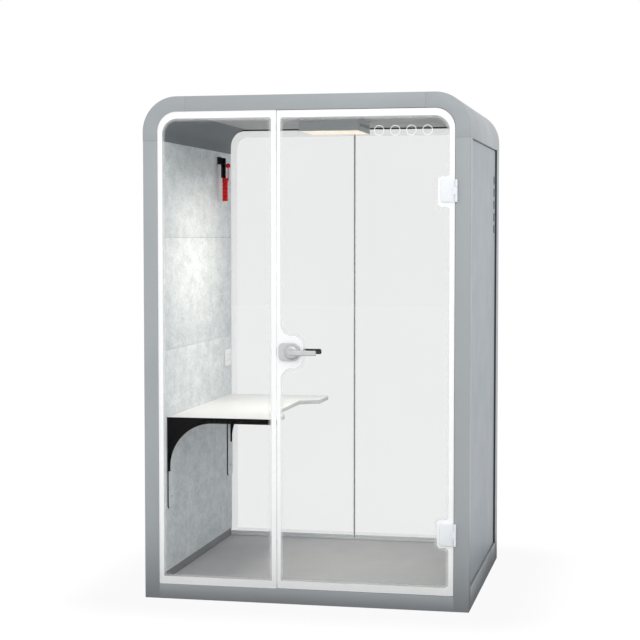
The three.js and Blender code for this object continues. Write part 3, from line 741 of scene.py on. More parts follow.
def enamel_haze(name):
    """Translucent enamel of one tone; each face of the thin print covers a share of what is behind."""
    grey, cover = HAZES[name]
    tree, shader = new_finish(name)
    tone = add_mottle(tree, (grey * 0.97, grey * 0.985, grey), (grey, grey * 1.01, grey * 1.02),
                      Cloud_Scale=8.0, Fleck_Scale=900.0)
    haze = add_node(tree, "MapRange", {
        "Value": tone.outputs["Mask"], "To Min": cover * 0.97, "To Max": cover * 1.03})
    feed(tree, shader, {
        "Base Color": tone.outputs["Color"], "Alpha": haze.outputs["Result"], "Roughness": 0.4,
        "Specular IOR Level": 0.1})


def clear_glass(name):
    """Clear glass with a faint tint and light smears; light passes straight through it."""
    tree, shader = new_finish(name)
    tone = add_mottle(tree, (0.902, 0.904, 0.905), (0.916, 0.918, 0.919), Cloud_Scale=1.5)
    feed(tree, shader, {
        "Base Color": tone.outputs["Color"], "Transmission Weight": 1.0, "Roughness": 0.0, "IOR": 1.12})
    clear = add_node(tree, "BsdfTransparent", {"Color": (0.95, 0.955, 0.96, 1.0)})
    passing = any_ray(tree, "Is Shadow Ray", "Is Diffuse Ray")
    show_mix(tree, "Material Output", passing, shader.outputs["BSDF"], clear.outputs["BSDF"])


def glowing_panel(name):
    """Opal light panel with a warm, slightly uneven glow."""
    tree, shader = new_finish(name)
    tone = add_mottle(tree, ("light_glow", 0.94), ("light_glow", 1.0), Cloud_Scale=9.0, Fleck_Scale=700.0)
    feed(tree, shader, {
        "Base Color": tone.outputs["Color"], "Emission Color": tone.outputs["Color"],
        "Emission Strength": 0.41, "Roughness": 0.4})


SPECIAL = {
    "Rear seal rubber": rear_rubber_and_shade, "Deck plywood": plywood, "Clear glass": clear_glass,
    "Opal light panel": glowing_panel, **dict.fromkeys(HAZES, enamel_haze),
}


def finish(name):
    """The finish of one name, made when it is first asked for."""
    if name not in bpy.data.materials:
        if name in SURFACES:
            *row, look = SURFACES[name]
            surface(name, *row, **look)
        else:
            SPECIAL[name](name)
    return bpy.data.materials[name]


# Pieces

class POD_OT_frame(bpy.types.Operator):
    """Model the posts, rails, sills and curved roof corners"""

    bl_idname = "pod.frame"
    bl_label = "Frame"

    CORNER_RADIUS = 0.160  # outside of the roof corners

    def execute(self, context):
        for end, outer_y in (("front", FRONT), ("rear", REAR)):
            for side, sign in SIDES.items():
                node = f"{end}_post_{side}"
                low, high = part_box(node)
                outer_x = high[0] if sign > 0 else low[0]
                post = add_block(f"{node}_profile", low, high)
                round_chosen(post, lambda middle, way: abs(way.z) > ALONG and abs(middle.x - outer_x) < NEAR
                             and abs(middle.y - outer_y) < NEAR, trim().edge_radius)
                self.paint(round_edges(post, trim().joint_radius, 2), node)
                if end == "rear":
                    # painted shade on the rear post's faces towards the front, in the gap beside the side
                    # panel
                    self.prime(post, (0.0, -1.0, 0.0), "Dark primer")
            for level in ("bottom", "top"):
                self.bar(f"{end}_{level}_rail")
        for side, sign in SIDES.items():
            # painted shade on the sills' top faces, in the gap below the side panels
            self.prime(self.bar(f"side_sill_{side}"), (0.0, 0.0, 1.0), "Mid primer")
            self.roof_corner(f"roof_corner_{side}", sign)
        return {"FINISHED"}

    def paint(self, piece, node):
        """Finishes one painted profile."""
        return settle(piece, "pod", "frame_paint", "Frame paint", node=node)

    def prime(self, piece, way, primer):
        """Painted shade on the faces that look one way, standing in for the shade in the gap beside a panel.
        """
        piece.data.materials.append(finish(primer))
        second_finish(piece, lambda face: face.normal.dot(Vector(way)) > ALONG)

    def bar(self, node):
        """One straight rail or sill."""
        return self.paint(fill_node(f"{node}_profile", node, trim().joint_radius), node)

    def roof_corner(self, node, sign):
        """One curved corner over the full depth."""
        end_x, outer_x, low, high = right_hand(node, sign)
        open_x, open_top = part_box("front_post_right")[0][0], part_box("front_top_rail")[0][2]
        outline = fillet([
            (open_x, low[2], 0.0), (outer_x, low[2], 0.0), (outer_x, high[2], self.CORNER_RADIUS),
            (end_x, high[2], 0.0), (end_x, open_top, 0.0),
            (open_x, open_top, self.CORNER_RADIUS - (outer_x - open_x)),
        ], steps=28)
        piece = add_plate(f"{node}_profile", mirrored(outline, sign), in_xz, low[1], high[1])
        self.paint(round_rims(piece, trim().joint_radius, 2), node)


class POD_OT_shell(bpy.types.Operator):
    """Model the outer panels with their vent slots, and finish what is inside the walls"""

    bl_idname = "pod.shell"
    bl_label = "Outer panels"

    VENTS = 5
    VENT_FROM_REAR, VENT_TOP, VENT_PITCH = 0.160, 1.966, 0.061
    VENT_HALF, VENT_HEIGHT, VENT_CORNER = 0.023, 0.040, 0.006

    def execute(self, context):
        for node in ("side_panel_left", "side_panel_right", "roof_panel"):
            vented = node == "side_panel_right"
            sheet = self.vented(node) if vented else fill_node(f"{node}_sheet", node, SHEET_EDGE)
            wear(sheet, "pod", "panel_paint", "Panel paint", node=node)
        # the wool shows only through the vent slots and the gaps beside the panels; its near-black tone is
        # painted shade
        for node in ("roof_core", "side_core_left", "side_core_right"):
            paint_node(node, "Acoustic wool")
        paint_node("floor_deck", "Deck plywood")
        return {"FINISHED"}

    def vented(self, node):
        """Side panel with a column of vent slots."""
        low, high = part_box(node)
        middle = REAR - self.VENT_FROM_REAR
        outlines = [rectangle(low[1], high[1], low[2], high[2])]
        for row in range(self.VENTS):
            top = self.VENT_TOP - row * self.VENT_PITCH
            outlines.append(rectangle(middle - self.VENT_HALF, middle + self.VENT_HALF,
                                      top - self.VENT_HEIGHT, top, self.VENT_CORNER, steps=6))
        sheet = add_pierced_plate(f"{node}_sheet", outlines, in_yz, low[0], high[0])
        return round_rims(sheet, SHEET_EDGE, 2)


class POD_OT_lining(bpy.types.Operator):
    """Model the felt boards, coves, ceiling and carpet"""

    bl_idname = "pod.lining"
    bl_label = "Lining"

    LOWER_SEAMS = (0.390, 0.800)  # upright seams of the lower boards, behind the front
    COVE_THICKNESS, COVE_RADIUS, COVE_EASE = 0.005, 0.090, 0.0001
    PILE_CUTS, PILE_RIM, PILE_SIZE, PILE_DEPTH = 90, 0.01, 0.03, 0.0012

    def execute(self, context):
        for side, sign in SIDES.items():
            for row, above in (("upper", 0.0), ("middle", SEAM_CLOSE)):
                node = f"felt_{side}_{row}"
                low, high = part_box(node)
                self.board(f"{node}_board", (low[0], low[1], low[2] - SEAM_CLOSE),
                           (high[0], high[1], high[2] + above), node)
            self.lower_boards(f"felt_{side}_lower")
            node = f"skirting_{side}"
            strip = fill_node(f"{node}_strip", node, FELT_EDGE)
            settle(strip, "pod", "lining", "Skirting lining", node=node)
            self.cove(f"cove_{side}", sign)
        ceiling = fill_node("ceiling_board", "ceiling_panel", 0.0008)
        wear(ceiling, "pod", "lining", "Ceiling lining", node="ceiling_panel")
        self.carpet()
        return {"FINISHED"}

    def board(self, name, low, high, node):
        """One felt board with softened edges."""
        piece = round_edges(add_block(name, low, high), FELT_EDGE, 2)
        settle(piece, "pod", "felt", "Pressed felt", node=node)

    def lower_boards(self, node):
        """Three boards side by side below the lowest seam."""
        low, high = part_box(node)
        seams = [FRONT + seam for seam in self.LOWER_SEAMS]
        starts = [low[1]] + [seam + CLEARANCE for seam in seams]
        ends = [seam - CLEARANCE for seam in seams] + [high[1]]
        for number, (start, end) in enumerate(zip(starts, ends), 1):
            self.board(f"{node}_board_{number}", (low[0], start, low[2]),
                       (high[0], end, high[2] + SEAM_CLOSE), node)

    def cove(self, node, sign):
        """Curved board between a wall and the ceiling."""
        inner_x, outer_x, low, high = right_hand(node, sign)
        face_x, face_z = outer_x - self.COVE_THICKNESS, high[2] - self.COVE_THICKNESS
        outline = fillet([
            (face_x, low[2], 0.0), (outer_x, low[2], 0.0),
            (outer_x, high[2], self.COVE_RADIUS + self.COVE_THICKNESS), (inner_x, high[2], 0.0),
            (inner_x, face_z, 0.0), (face_x, face_z, self.COVE_RADIUS - self.COVE_EASE),
        ], steps=32)
        piece = add_plate(f"{node}_board", mirrored(outline, sign), in_xz, low[1], high[1])
        settle(piece, "pod", "lining", "Cove lining", node=node)

    def carpet(self):
        """Carpet with a slightly uneven pile."""
        low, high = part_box("carpet")
        piece = add_block("carpet_pile", low, high)
        edit_whole()
        bpy.ops.mesh.subdivide(number_cuts=self.PILE_CUTS)
        leave_edit()
        pile = bpy.data.textures.new("pile", "CLOUDS")
        pile.noise_scale = self.PILE_SIZE
        top = piece.vertex_groups.new(name="top")
        inside = [point.index for point in piece.data.vertices if point.co.z > high[2] - EXACT
                  and low[0] + self.PILE_RIM < point.co.x < high[0] - self.PILE_RIM]
        top.add(inside, 1.0, "REPLACE")
        relief = piece.modifiers.new("pile", "DISPLACE")
        relief.texture = pile
        relief.texture_coords = "LOCAL"
        relief.direction = "Z"
        relief.strength = self.PILE_DEPTH
        relief.mid_level = 1.0
        relief.vertex_group = "top"
        apply_modifier(piece, relief)
        settle(piece, "pod", "carpet", "Carpet pile", node="carpet")


class POD_OT_light(bpy.types.Operator):
    """Model the ceiling light's panel and finish its housing and fans"""

    bl_idname = "pod.light"
    bl_label = "Ceiling light"

    def execute(self, context):
        paint_node("light_housing", "Light housing paint")
        for node in ("power_supply", "fan_rotor_left", "fan_rotor_right"):
            paint_node(node, "Dark moulded plastic")
        panel = fill_node("light_panel", "light_diffuser", 0.001)
        wear(panel, "pod", "opal", "Opal light panel", node="light_diffuser")
        return {"FINISHED"}


class POD_OT_glazing(bpy.types.Operator):
    """Finish the panes and model the prints on them"""

    bl_idname = "pod.glazing"
    bl_label = "Glazing"

    BAND_GAP = 0.0001  # between the white print and the haze, and between its strips
    PANE_RIM, PANE_SMALL_CORNER = 0.0002, 0.002
    FOOT_CORNER, TOP_CORNER = 0.003, 0.012  # of the print's inner edge, away from the frame's corners
    HINGE_CORNER = 0.020  # of the door's print, below the lower hinge
    HINGE_TABS = (("lower", 0.011, 0.065, 0.060), ("upper", 0.013, 0.062, 0.069))  # reach, above, below
    HINGE_TAB_RADIUS = 0.016
    LOCK_TAB_REACH, LOCK_TAB_HALF, LOCK_TAB_RADIUS = 0.009, 0.073, 0.050
    REAR_FOOT, REAR_RIM = 0.026, 0.001  # height of the grey foot, bare rim of the rear panes
    HAZE_SEAM, HAZE_SIDE, HAZE_FOOT, HAZE_TOP = 0.004, 0.048, 0.042, 0.045  # widths of the rear haze
    HAZE_GAP, HAZE_RADII = 0.0002, (0.0, 0.003, 0.060, 0.0)
    RINGS_X, RING_Z, RING_RADII = (0.342, 0.414, 0.486, 0.558), 2.134, (0.0228, 0.0201)

    def execute(self, context):
        for node in ("fixed_glass", "door_glass", "rear_glass_left", "rear_glass_right"):
            paint_node(node, "Clear glass")
        for node in ("front_seal", "rear_seam_strip"):
            paint_node(node, "Grey seal rubber")
        paint_node("rear_seal", "Rear seal rubber")
        depths = self.depths("door_glass")
        self.edge_print("fixed_glass", self.fixed_outline, "pod", depths)
        self.edge_print("door_glass", self.door_outline, "door", depths)
        self.rear_prints()
        for number, x in enumerate(self.RINGS_X, 1):
            outlines = [circle(x, self.RING_Z, radius) for radius in self.RING_RADII]
            ring = add_pierced_plate(f"door_ring_{number}", outlines, in_xz, *depths)
            wear(ring, "door", "white_plastic", "White enamel print")
        return {"FINISHED"}

    def depths(self, pane):
        """Front and back of a print on the face of a pane."""
        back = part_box(pane)[0][1] - PRINT_LIFT
        return back - trim().print_thickness, back

    def edge_print(self, node, inner, body, depths):
        """White border along a pane, and inside it a band that fades in three strips."""
        border = [self.pane_outline(node), inner(node, 0.0)]
        piece = add_pierced_plate(f"{node}_print", border, in_xz, *depths)
        wear(piece, body, "white_plastic", "White enamel print")
        width = trim().band_width / len(BAND_COVER)
        for number in range(len(BAND_COVER)):
            strip = [inner(node, number * width + self.BAND_GAP), inner(node, (number + 1) * width)]
            piece = add_pierced_plate(f"{node}_band_{number + 1}", strip, in_xz, *depths)
            wear(piece, body, "light_body", f"Shaded enamel band {number + 1}")

    def pane_outline(self, node):
        """Outline of a front pane, with the frame's rounded corner on its outer side."""
        low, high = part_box(node)
        small, rim = self.PANE_SMALL_CORNER, self.PANE_RIM
        tops = (small, PANE_CORNER) if node == "fixed_glass" else (PANE_CORNER, small)
        return rectangle(low[0] + rim, high[0] - rim, low[2] + rim, high[2] - rim,
                         (small, small, *tops), steps=16)

    def inner_edges(self, node, border_left, inset):
        """Left, right, bottom and top of a print's inner edge, drawn in by an inset."""
        low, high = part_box(node)
        return (low[0] + border_left + inset, high[0] - trim().border_side - inset,
                low[2] + trim().border_bottom + inset, high[2] - trim().border_top - inset)

    def fixed_outline(self, node, inset):
        """Inner edge of the fixed pane's print."""
        radii = (self.FOOT_CORNER, self.FOOT_CORNER, self.TOP_CORNER, trim().border_corner - inset)
        return rectangle(*self.inner_edges(node, trim().border_side, inset), radii, steps=14)

    def door_outline(self, node, inset):
        """Inner edge of the door's print, with tabs round the hinges and the lock."""
        left, right, bottom, top = self.inner_edges(node, trim().border_door, inset)
        corners = [(left, bottom, self.FOOT_CORNER), (right, bottom, self.HINGE_CORNER)]
        radius = self.HINGE_TAB_RADIUS
        for hinge, reach, above, below in self.HINGE_TABS:
            low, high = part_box(f"hinge_clamp_{hinge}")
            middle = (low[2] + high[2]) / 2
            corners += self.tab(right, low[0] - reach - inset, middle - below - inset,
                                middle + above + inset, radius - inset / 2, radius + inset)
        corners += [(right, top, trim().border_corner - inset), (left, top, self.TOP_CORNER)]
        low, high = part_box("lock_case_outer")
        middle, half = (low[2] + high[2]) / 2, self.LOCK_TAB_HALF + inset
        corners += self.tab(left, high[0] + self.LOCK_TAB_REACH + inset, middle + half, middle - half,
                            self.LOCK_TAB_RADIUS - inset, self.LOCK_TAB_RADIUS + inset)
        return fillet(corners, steps=14)

    def tab(self, edge, tip, start, end, foot_radius, tip_radius):
        """Corners of a tab that goes from an edge of the print to its tip and back."""
        return [(edge, start, foot_radius), (tip, start, tip_radius),
                (tip, end, tip_radius), (edge, end, foot_radius)]

    def rear_prints(self):
        """Hazy border and grey foot on the inner face of the rear panes."""
        depths = self.depths("rear_glass_left")
        for side, sign in SIDES.items():
            node = f"rear_glass_{side}"
            inner_x, outer_x, low, high = right_hand(node, sign)
            near, far = inner_x + self.REAR_RIM, outer_x - self.REAR_RIM
            foot = low[2] + self.REAR_FOOT
            border = [
                rectangle(near, far, foot + self.HAZE_GAP, high[2] - self.REAR_RIM,
                          (0.0, 0.0, PANE_CORNER, 0.0), 16),
                rectangle(inner_x + self.HAZE_SEAM, outer_x - self.HAZE_SIDE, low[2] + self.HAZE_FOOT,
                          high[2] - self.HAZE_TOP, self.HAZE_RADII, 14),
            ]
            outlines = [mirrored(outline, sign) for outline in border]
            piece = add_pierced_plate(f"{node}_print", outlines, in_xz, *depths)
            wear(piece, "pod", "white_plastic", "Rear enamel haze")
            strip = mirrored(rectangle(near, far, low[2] + self.REAR_RIM, foot), sign)
            wear(add_plate(f"{node}_foot", strip, in_xz, *depths), "pod", "light_body", "Grey enamel foot")


class POD_OT_hinges(bpy.types.Operator):
    """Model the two door hinges"""

    bl_idname = "pod.hinges"
    bl_label = "Hinges"

    KNUCKLE = 0.0055  # radius of the knuckles
    PIN_RADIUS, EAR_HALF, EAR_GAP = 0.0022, 0.0027, 0.0005
    PLATE, PLATE_CORNER, PLATE_EDGE = 0.008, 0.007, 0.0016
    REAR_PLATE_END = 0.6637
    BOLT_RADIUS, BOLT_SINK, BOLT_OFFSET = 0.008, 0.002, 0.025
    STRIP_WIDTH, STRIP, STRIP_EDGE = 0.010, 0.0016, 0.0004

    def execute(self, context):
        for name in ("upper", "lower"):
            self.clamp(f"hinge_clamp_{name}")
            self.leaf(f"hinge_leaf_{name}", f"hinge_clamp_{name}")
        return {"FINISHED"}

    def axis(self, clamp):
        """Place of a hinge's axis, seen from above."""
        low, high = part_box(clamp)
        return high[0] - self.KNUCKLE, low[1] + self.KNUCKLE

    def clamp(self, node):
        """Plates on both faces of the door with the middle knuckle."""
        low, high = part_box(node)
        glass_low, glass_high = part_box("door_glass")
        axis_x, axis_y = self.axis(node)
        right, face = glass_high[0], glass_low[1] - CLEARANCE
        third = (high[2] - low[2]) / 3
        z0, z1 = low[2] + third + CLEARANCE, high[2] - third - CLEARANCE
        plate = add_block(f"{node}_plates", (low[0], face - self.PLATE, low[2]), (right, face, high[2]))
        round_chosen(plate, lambda middle, way: abs(way.y) > ALONG and middle.x < right - 0.01,
                     self.PLATE_CORNER)
        round_edges(plate, self.PLATE_EDGE)
        rear_plate = add_block("rear_plate", (low[0], glass_high[1] + CLEARANCE, low[2]),
                               (self.REAR_PLATE_END, high[1], high[2]))
        round_edges(rear_plate, self.PLATE_EDGE)
        arm = add_block("arm", (right - self.KNUCKLE, low[1], z0), (axis_x, face - self.KNUCKLE, z1))
        barrel = add_turned("barrel", rod_profile(z1 - z0, self.KNUCKLE, 0.0005), upright(axis_x, axis_y, z0))
        middle_x, middle_z = right - (right - low[0]) / 2, (low[2] + high[2]) / 2
        bolts = [add_turned("bolt", rod_profile(high[1] - face, self.BOLT_RADIUS, 0.0003),
                            towards_rear(middle_x, face - self.BOLT_SINK, middle_z + offset))
                 for offset in (-self.BOLT_OFFSET, self.BOLT_OFFSET)]
        weld(plate, arm, barrel, rear_plate, *bolts)
        settle(plate, "door", "white_metal", "White hinge paint", node=node)

    def leaf(self, node, clamp):
        """Strip on the frame with the two outer knuckles and the pin."""
        low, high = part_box(node)
        axis_x, axis_y = self.axis(clamp)
        third = (high[2] - low[2]) / 3
        strip = add_block(f"{node}_knuckles",
                          (high[0] - self.STRIP_WIDTH, high[1] - self.STRIP, low[2]), high)
        round_edges(strip, self.STRIP_EDGE, 2)
        extras = []
        for z0, z1 in ((low[2], low[2] + third), (high[2] - third, high[2])):
            extras += [
                add_turned("knuckle", rod_profile(z1 - z0, self.KNUCKLE, 0.0006),
                           upright(axis_x, axis_y, z0)),
                add_block("ear", (axis_x - self.EAR_HALF, axis_y, z0 + self.EAR_GAP),
                          (axis_x + self.EAR_HALF, high[1], z1 - self.EAR_GAP)),
            ]
        pin = rod_profile(high[2] - low[2] - 2 * CLEARANCE, self.PIN_RADIUS, 0.0002)
        extras.append(add_turned("pin", pin, upright(axis_x, axis_y, low[2] + CLEARANCE)))
        weld(strip, *extras)
        settle(strip, "pod", "white_metal", "White hinge paint", node=node)


class POD_OT_lock(bpy.types.Operator):
    """Model the lever lock on the door and its keeper"""

    bl_idname = "pod.lock"
    bl_label = "Lever lock"

    CASE_CORNER, CASE_PLATE = 0.022, 0.008
    BOSS_RADIUS, BOSS_TOP = 0.036, 0.016  # domed boss, at its foot and at its top
    BORE, NECK, SHAFT, SHAFT_BORE = 0.0108, 0.0105, 0.0046, 0.0053  # radii about the spindle
    NECK_RIM, NECK_OVERLAP = 0.0004, 0.004
    ARM, ARM_EDGE, ARM_CORNER = 0.012, 0.0052, 0.006
    KEEPER_SLACK, BOLT_THROW = 0.002, 0.024

    def execute(self, context):
        low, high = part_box("lock_case_outer")
        half = (high[2] - low[2]) / 2
        spindle = (high[0] - half, (low[2] + high[2]) / 2)
        self.outer_case(spindle, half)
        self.inner_case(spindle, half)
        self.lever("lever_outer", spindle, "satin_metal", "Satin metal")
        self.lever("lever_inner", spindle, "dark_plastic", "Dark moulded plastic")
        bolt = fill_node("lock_bolt_bar", "lock_bolt", 0.0012, 3)
        settle(bolt, "bolt", "satin_metal", "Satin metal", node="lock_bolt")
        self.keeper()
        return {"FINISHED"}

    def case_plate(self, name, low, high, half, front, edge):
        """D-shaped plate, round away from the door's edge."""
        turn = half - 0.00005
        outline = rectangle(low[0], high[0], low[2], high[2],
                            (self.CASE_CORNER, turn, turn, self.CASE_CORNER), steps=20)
        return round_rims(add_plate(name, outline, in_xz, front, high[1]), edge, 4)

    def bolt_space(self, name, left, right, slack):
        """Room for the bolt between two x, with slack round it."""
        low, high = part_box("lock_bolt")
        return add_block(name, (left, low[1] - slack, low[2] - slack),
                         (right, high[1] + slack, high[2] + slack))

    def outer_case(self, spindle, half):
        """Outer plate with its domed boss."""
        x, z = spindle
        low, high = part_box("lock_case_outer")
        front = high[1] - self.CASE_PLATE
        piece = self.case_plate("lock_case_outer_plate", low, high, half, front, 0.002)
        turns = [math.radians(step * 7.5) for step in range(13)]
        swell = self.BOSS_RADIUS - self.BOSS_TOP
        dome = [(-0.001, self.BOSS_RADIUS)]
        dome += [((front - low[1]) * math.sin(t), self.BOSS_TOP + swell * math.cos(t)) for t in turns]
        weld(piece, add_turned("boss", dome, towards_front(x, front, z), around=72))
        carve(piece, add_turned("bore", [(-0.002, self.BORE), (0.036, self.BORE)],
                                towards_front(x, high[1], z)))
        settle(piece, "door", "satin_metal", "Satin metal", node="lock_case_outer")

    def inner_case(self, spindle, half):
        """Inner case with the channel for the bolt."""
        x, z = spindle
        low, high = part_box("lock_case_inner")
        piece = self.case_plate("lock_case_inner_body", low, high, half, low[1], 0.003)
        way = self.bolt_space("way", low[0] - 0.002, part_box("lock_bolt")[1][0] + CLEARANCE, CLEARANCE)
        bore = add_turned("bore", [(-0.002, self.BORE), (0.030, self.BORE)], towards_rear(x, low[1], z))
        carve(piece, way, bore)
        settle(piece, "door", "satin_metal", "Satin metal", node="lock_case_inner")

    def rod(self, name, spindle, start, end, radius):
        """Rod on the spindle's axis, from one depth to another."""
        x, z = spindle
        return add_turned(name, rod_profile(end - start, radius, self.NECK_RIM), towards_rear(x, start, z))

    def lever(self, node, spindle, slot, name):
        """Lever arm with its neck."""
        low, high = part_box(node)
        x, z = spindle
        tip = (high[2] - low[2]) / 2 - 0.0002
        outside = node == "lever_outer"
        near, far = (low[1], low[1] + self.ARM) if outside else (high[1] - self.ARM, high[1])
        outline = rectangle(low[0], high[0], low[2], high[2],
                            (tip, self.ARM_CORNER, self.ARM_CORNER, tip), steps=14)
        arm = round_rims(add_plate(f"{node}_arm", outline, in_xz, near, far), self.ARM_EDGE, 6)
        if outside:
            neck_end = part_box("lock_case_outer")[1][1]
            weld(arm, self.rod("neck", spindle, far - self.NECK_OVERLAP, neck_end, self.NECK),
                 self.rod("shaft", spindle, neck_end - self.NECK_OVERLAP, high[1], self.SHAFT))
        else:
            weld(arm, self.rod("neck", spindle, low[1], near + self.NECK_OVERLAP, self.NECK))
            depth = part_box("lever_outer")[1][1] + 0.0005 - low[1]
            carve(arm, add_turned("socket", [(-0.001, self.SHAFT_BORE), (depth, self.SHAFT_BORE)],
                                  towards_rear(x, low[1], z)))
        settle(arm, "lever", slot, name, node=node)

    def keeper(self):
        """Keeper on the fixed pane with the pocket for the bolt."""
        low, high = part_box("bolt_keeper")
        piece = add_block("bolt_keeper_body", low, high)
        round_chosen(piece, lambda middle, way: abs(way.y) > ALONG and middle.x < low[0] + 0.001, 0.006)
        round_edges(piece, 0.0012)
        carve(piece, self.bolt_space("pocket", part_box("lock_bolt")[0][0] - self.BOLT_THROW,
                                     high[0] + self.KEEPER_SLACK, self.KEEPER_SLACK))
        settle(piece, "pod", "satin_metal", "Satin metal", node="bolt_keeper")


class POD_OT_desk(bpy.types.Operator):
    """Model the desk top and its two brackets"""

    bl_idname = "pod.desk"
    bl_label = "Desk"

    RECESS_START, RECESS_FLAT = 0.219, 0.275  # of the recess, from either end of the desk
    FRONT_SETBACK, RECESS_SETBACK = 0.022, 0.095
    SHEET, WEB_RADIUS, WEB_FOOT, WEB_FOOT_DROP = 0.004, 0.205, 0.014, 0.022
    ARM_DEPTH, WEB_FROM_REAR = 0.025, 0.044
    SHELF_WIDTH, SHELF_SHORT = 0.024, 0.040
    PLATE, PLATE_CORNER = 0.006, 0.020
    SCREW_HEIGHT, SCREW_RADIUS, SCREW_HEAD = 0.053, 0.004, 0.0005

    def execute(self, context):
        self.top()
        for end in ("front", "rear"):
            self.bracket(end)
        return {"FINISHED"}

    def top(self):
        """Desk top with a shallow recess on the user's side."""
        low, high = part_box("desk_top")
        wall, rear_x = low[0], high[0]
        front_x, middle_x = rear_x - self.FRONT_SETBACK, rear_x - self.RECESS_SETBACK
        outline = fillet([
            (wall, low[1], 0.002), (front_x, low[1], 0.015), (front_x, low[1] + self.RECESS_START, 0.008),
            (middle_x, low[1] + self.RECESS_FLAT, 0.010), (middle_x, high[1] - self.RECESS_FLAT, 0.010),
            (rear_x, high[1] - self.RECESS_START, 0.008), (rear_x, high[1], 0.015), (wall, high[1], 0.002),
        ], steps=12)
        piece = add_plate("desk_top_board", outline, in_xy, low[2], high[2])
        round_rims(piece, 0.0016, 3)
        settle(piece, "pod", "laminate", "White laminate", "Desk edge band", node="desk_top")
        second_finish(piece, lambda face: face.normal.z < 0.5)

    def bracket(self, end):
        """Black web with a curved underside, a shelf below the desk and a wall plate faced with felt."""
        node = f"desk_bracket_{end}"
        low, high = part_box(node)
        desk_low, desk_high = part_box("desk_top")
        radius, foot = self.WEB_RADIUS, low[0] + self.WEB_FOOT
        web_y = low[1] if end == "front" else high[1] - self.WEB_FROM_REAR
        shelf_y = web_y if end == "front" else web_y + self.SHEET - self.SHELF_WIDTH
        shelf_top = desk_low[2] - CLEARANCE
        arm_bottom = desk_high[2] - self.ARM_DEPTH
        foot_bottom = arm_bottom - radius - self.WEB_FOOT_DROP
        outline = [(low[0], high[2]), (low[0], foot_bottom), (foot, foot_bottom)]
        for step in range(41):
            angle = math.pi - (math.pi / 2) * step / 40
            outline.append((foot + radius + radius * math.cos(angle),
                            arm_bottom - radius + radius * math.sin(angle)))
        outline += [(high[0], arm_bottom), (high[0], high[2])]
        piece = add_plate(f"{node}_web", outline, in_xz, web_y, web_y + self.SHEET)
        shelf = add_block("shelf", (low[0], shelf_y, shelf_top - self.SHEET),
                          (high[0] - self.SHELF_SHORT, shelf_y + self.SHELF_WIDTH, shelf_top))
        plate_face = low[0] + self.PLATE
        corners = (self.PLATE_CORNER, self.PLATE_CORNER, 0.0, 0.0)
        plate = add_plate("plate", rectangle(low[1], high[1], low[2], shelf_top, corners),
                          in_yz, low[0], plate_face)
        weld(piece, shelf, plate)
        settle(piece, "pod", "black_paint", "Black powder coat", "Pressed felt", node=node)
        second_finish(piece, lambda face: face.normal.x > ALONG and abs(face.center.x - plate_face) < EXACT)
        where = upright(plate_face, (low[1] + high[1]) / 2, low[2] + self.SCREW_HEIGHT)
        screw = add_turned(f"{node}_screw", rod_profile(self.SCREW_HEAD, self.SCREW_RADIUS, 0.0002),
                           where @ Matrix.Rotation(math.radians(90.0), 4, "Y"), around=24)
        settle(screw, "pod", "black_paint", "Black powder coat")


class POD_OT_socket(bpy.types.Operator):
    """Model the double socket on the wall"""

    bl_idname = "pod.socket"
    bl_label = "Socket"

    OFFSETS = (-0.023, 0.023)
    WELL_DEPTH, WELL_HALF, RIM_HALF = 0.003, 0.017, 0.015
    INSERT_GAP, INSERT = 0.0002, 0.0020
    SLOTS = ((0.0, 0.007, 0.003, 0.005), (-0.008, -0.006, 0.004, 0.003), (0.008, -0.006, 0.004, 0.003))

    def execute(self, context):
        low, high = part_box("socket_plate")
        z, floor = (low[2] + high[2]) / 2, high[0] - self.WELL_DEPTH
        outline = rectangle(low[1], high[1], low[2], high[2], 0.008, steps=8)
        piece = round_rims(add_plate("socket_plate_face", outline, in_yz, low[0], high[0]), 0.002, 3)
        for number, offset in enumerate(self.OFFSETS, 1):
            y = (low[1] + high[1]) / 2 + offset
            well = rectangle_about(y, z, self.WELL_HALF, self.WELL_HALF, 0.006, 6)
            carve(piece, add_plate("well", well, in_yz, floor, high[0] + 0.002))
            self.outlet(number, y, z, floor)
        settle(piece, "pod", "white_plastic", "White moulded plastic", "Dark moulded plastic",
               node="socket_plate")
        # painted shade: the floor of each well is dark, so the contact slots and the gap round each insert
        # read as deep shadow
        second_finish(piece, lambda face: abs(face.center.x - floor) < EXACT)
        return {"FINISHED"}

    def outlet(self, number, y, z, floor):
        """Insert with plain contact slots."""
        outlines = [rectangle_about(y, z, self.RIM_HALF, self.RIM_HALF, 0.005, 6)]
        outlines += [rectangle_about(y + dy, z + dz, half_y, half_z, 0.0006, 3)
                     for dy, dz, half_y, half_z in self.SLOTS]
        start = floor + self.INSERT_GAP
        insert = add_pierced_plate(f"socket_outlet_{number}", outlines, in_yz, start, start + self.INSERT)
        wear(insert, "pod", "white_plastic", "White moulded plastic")


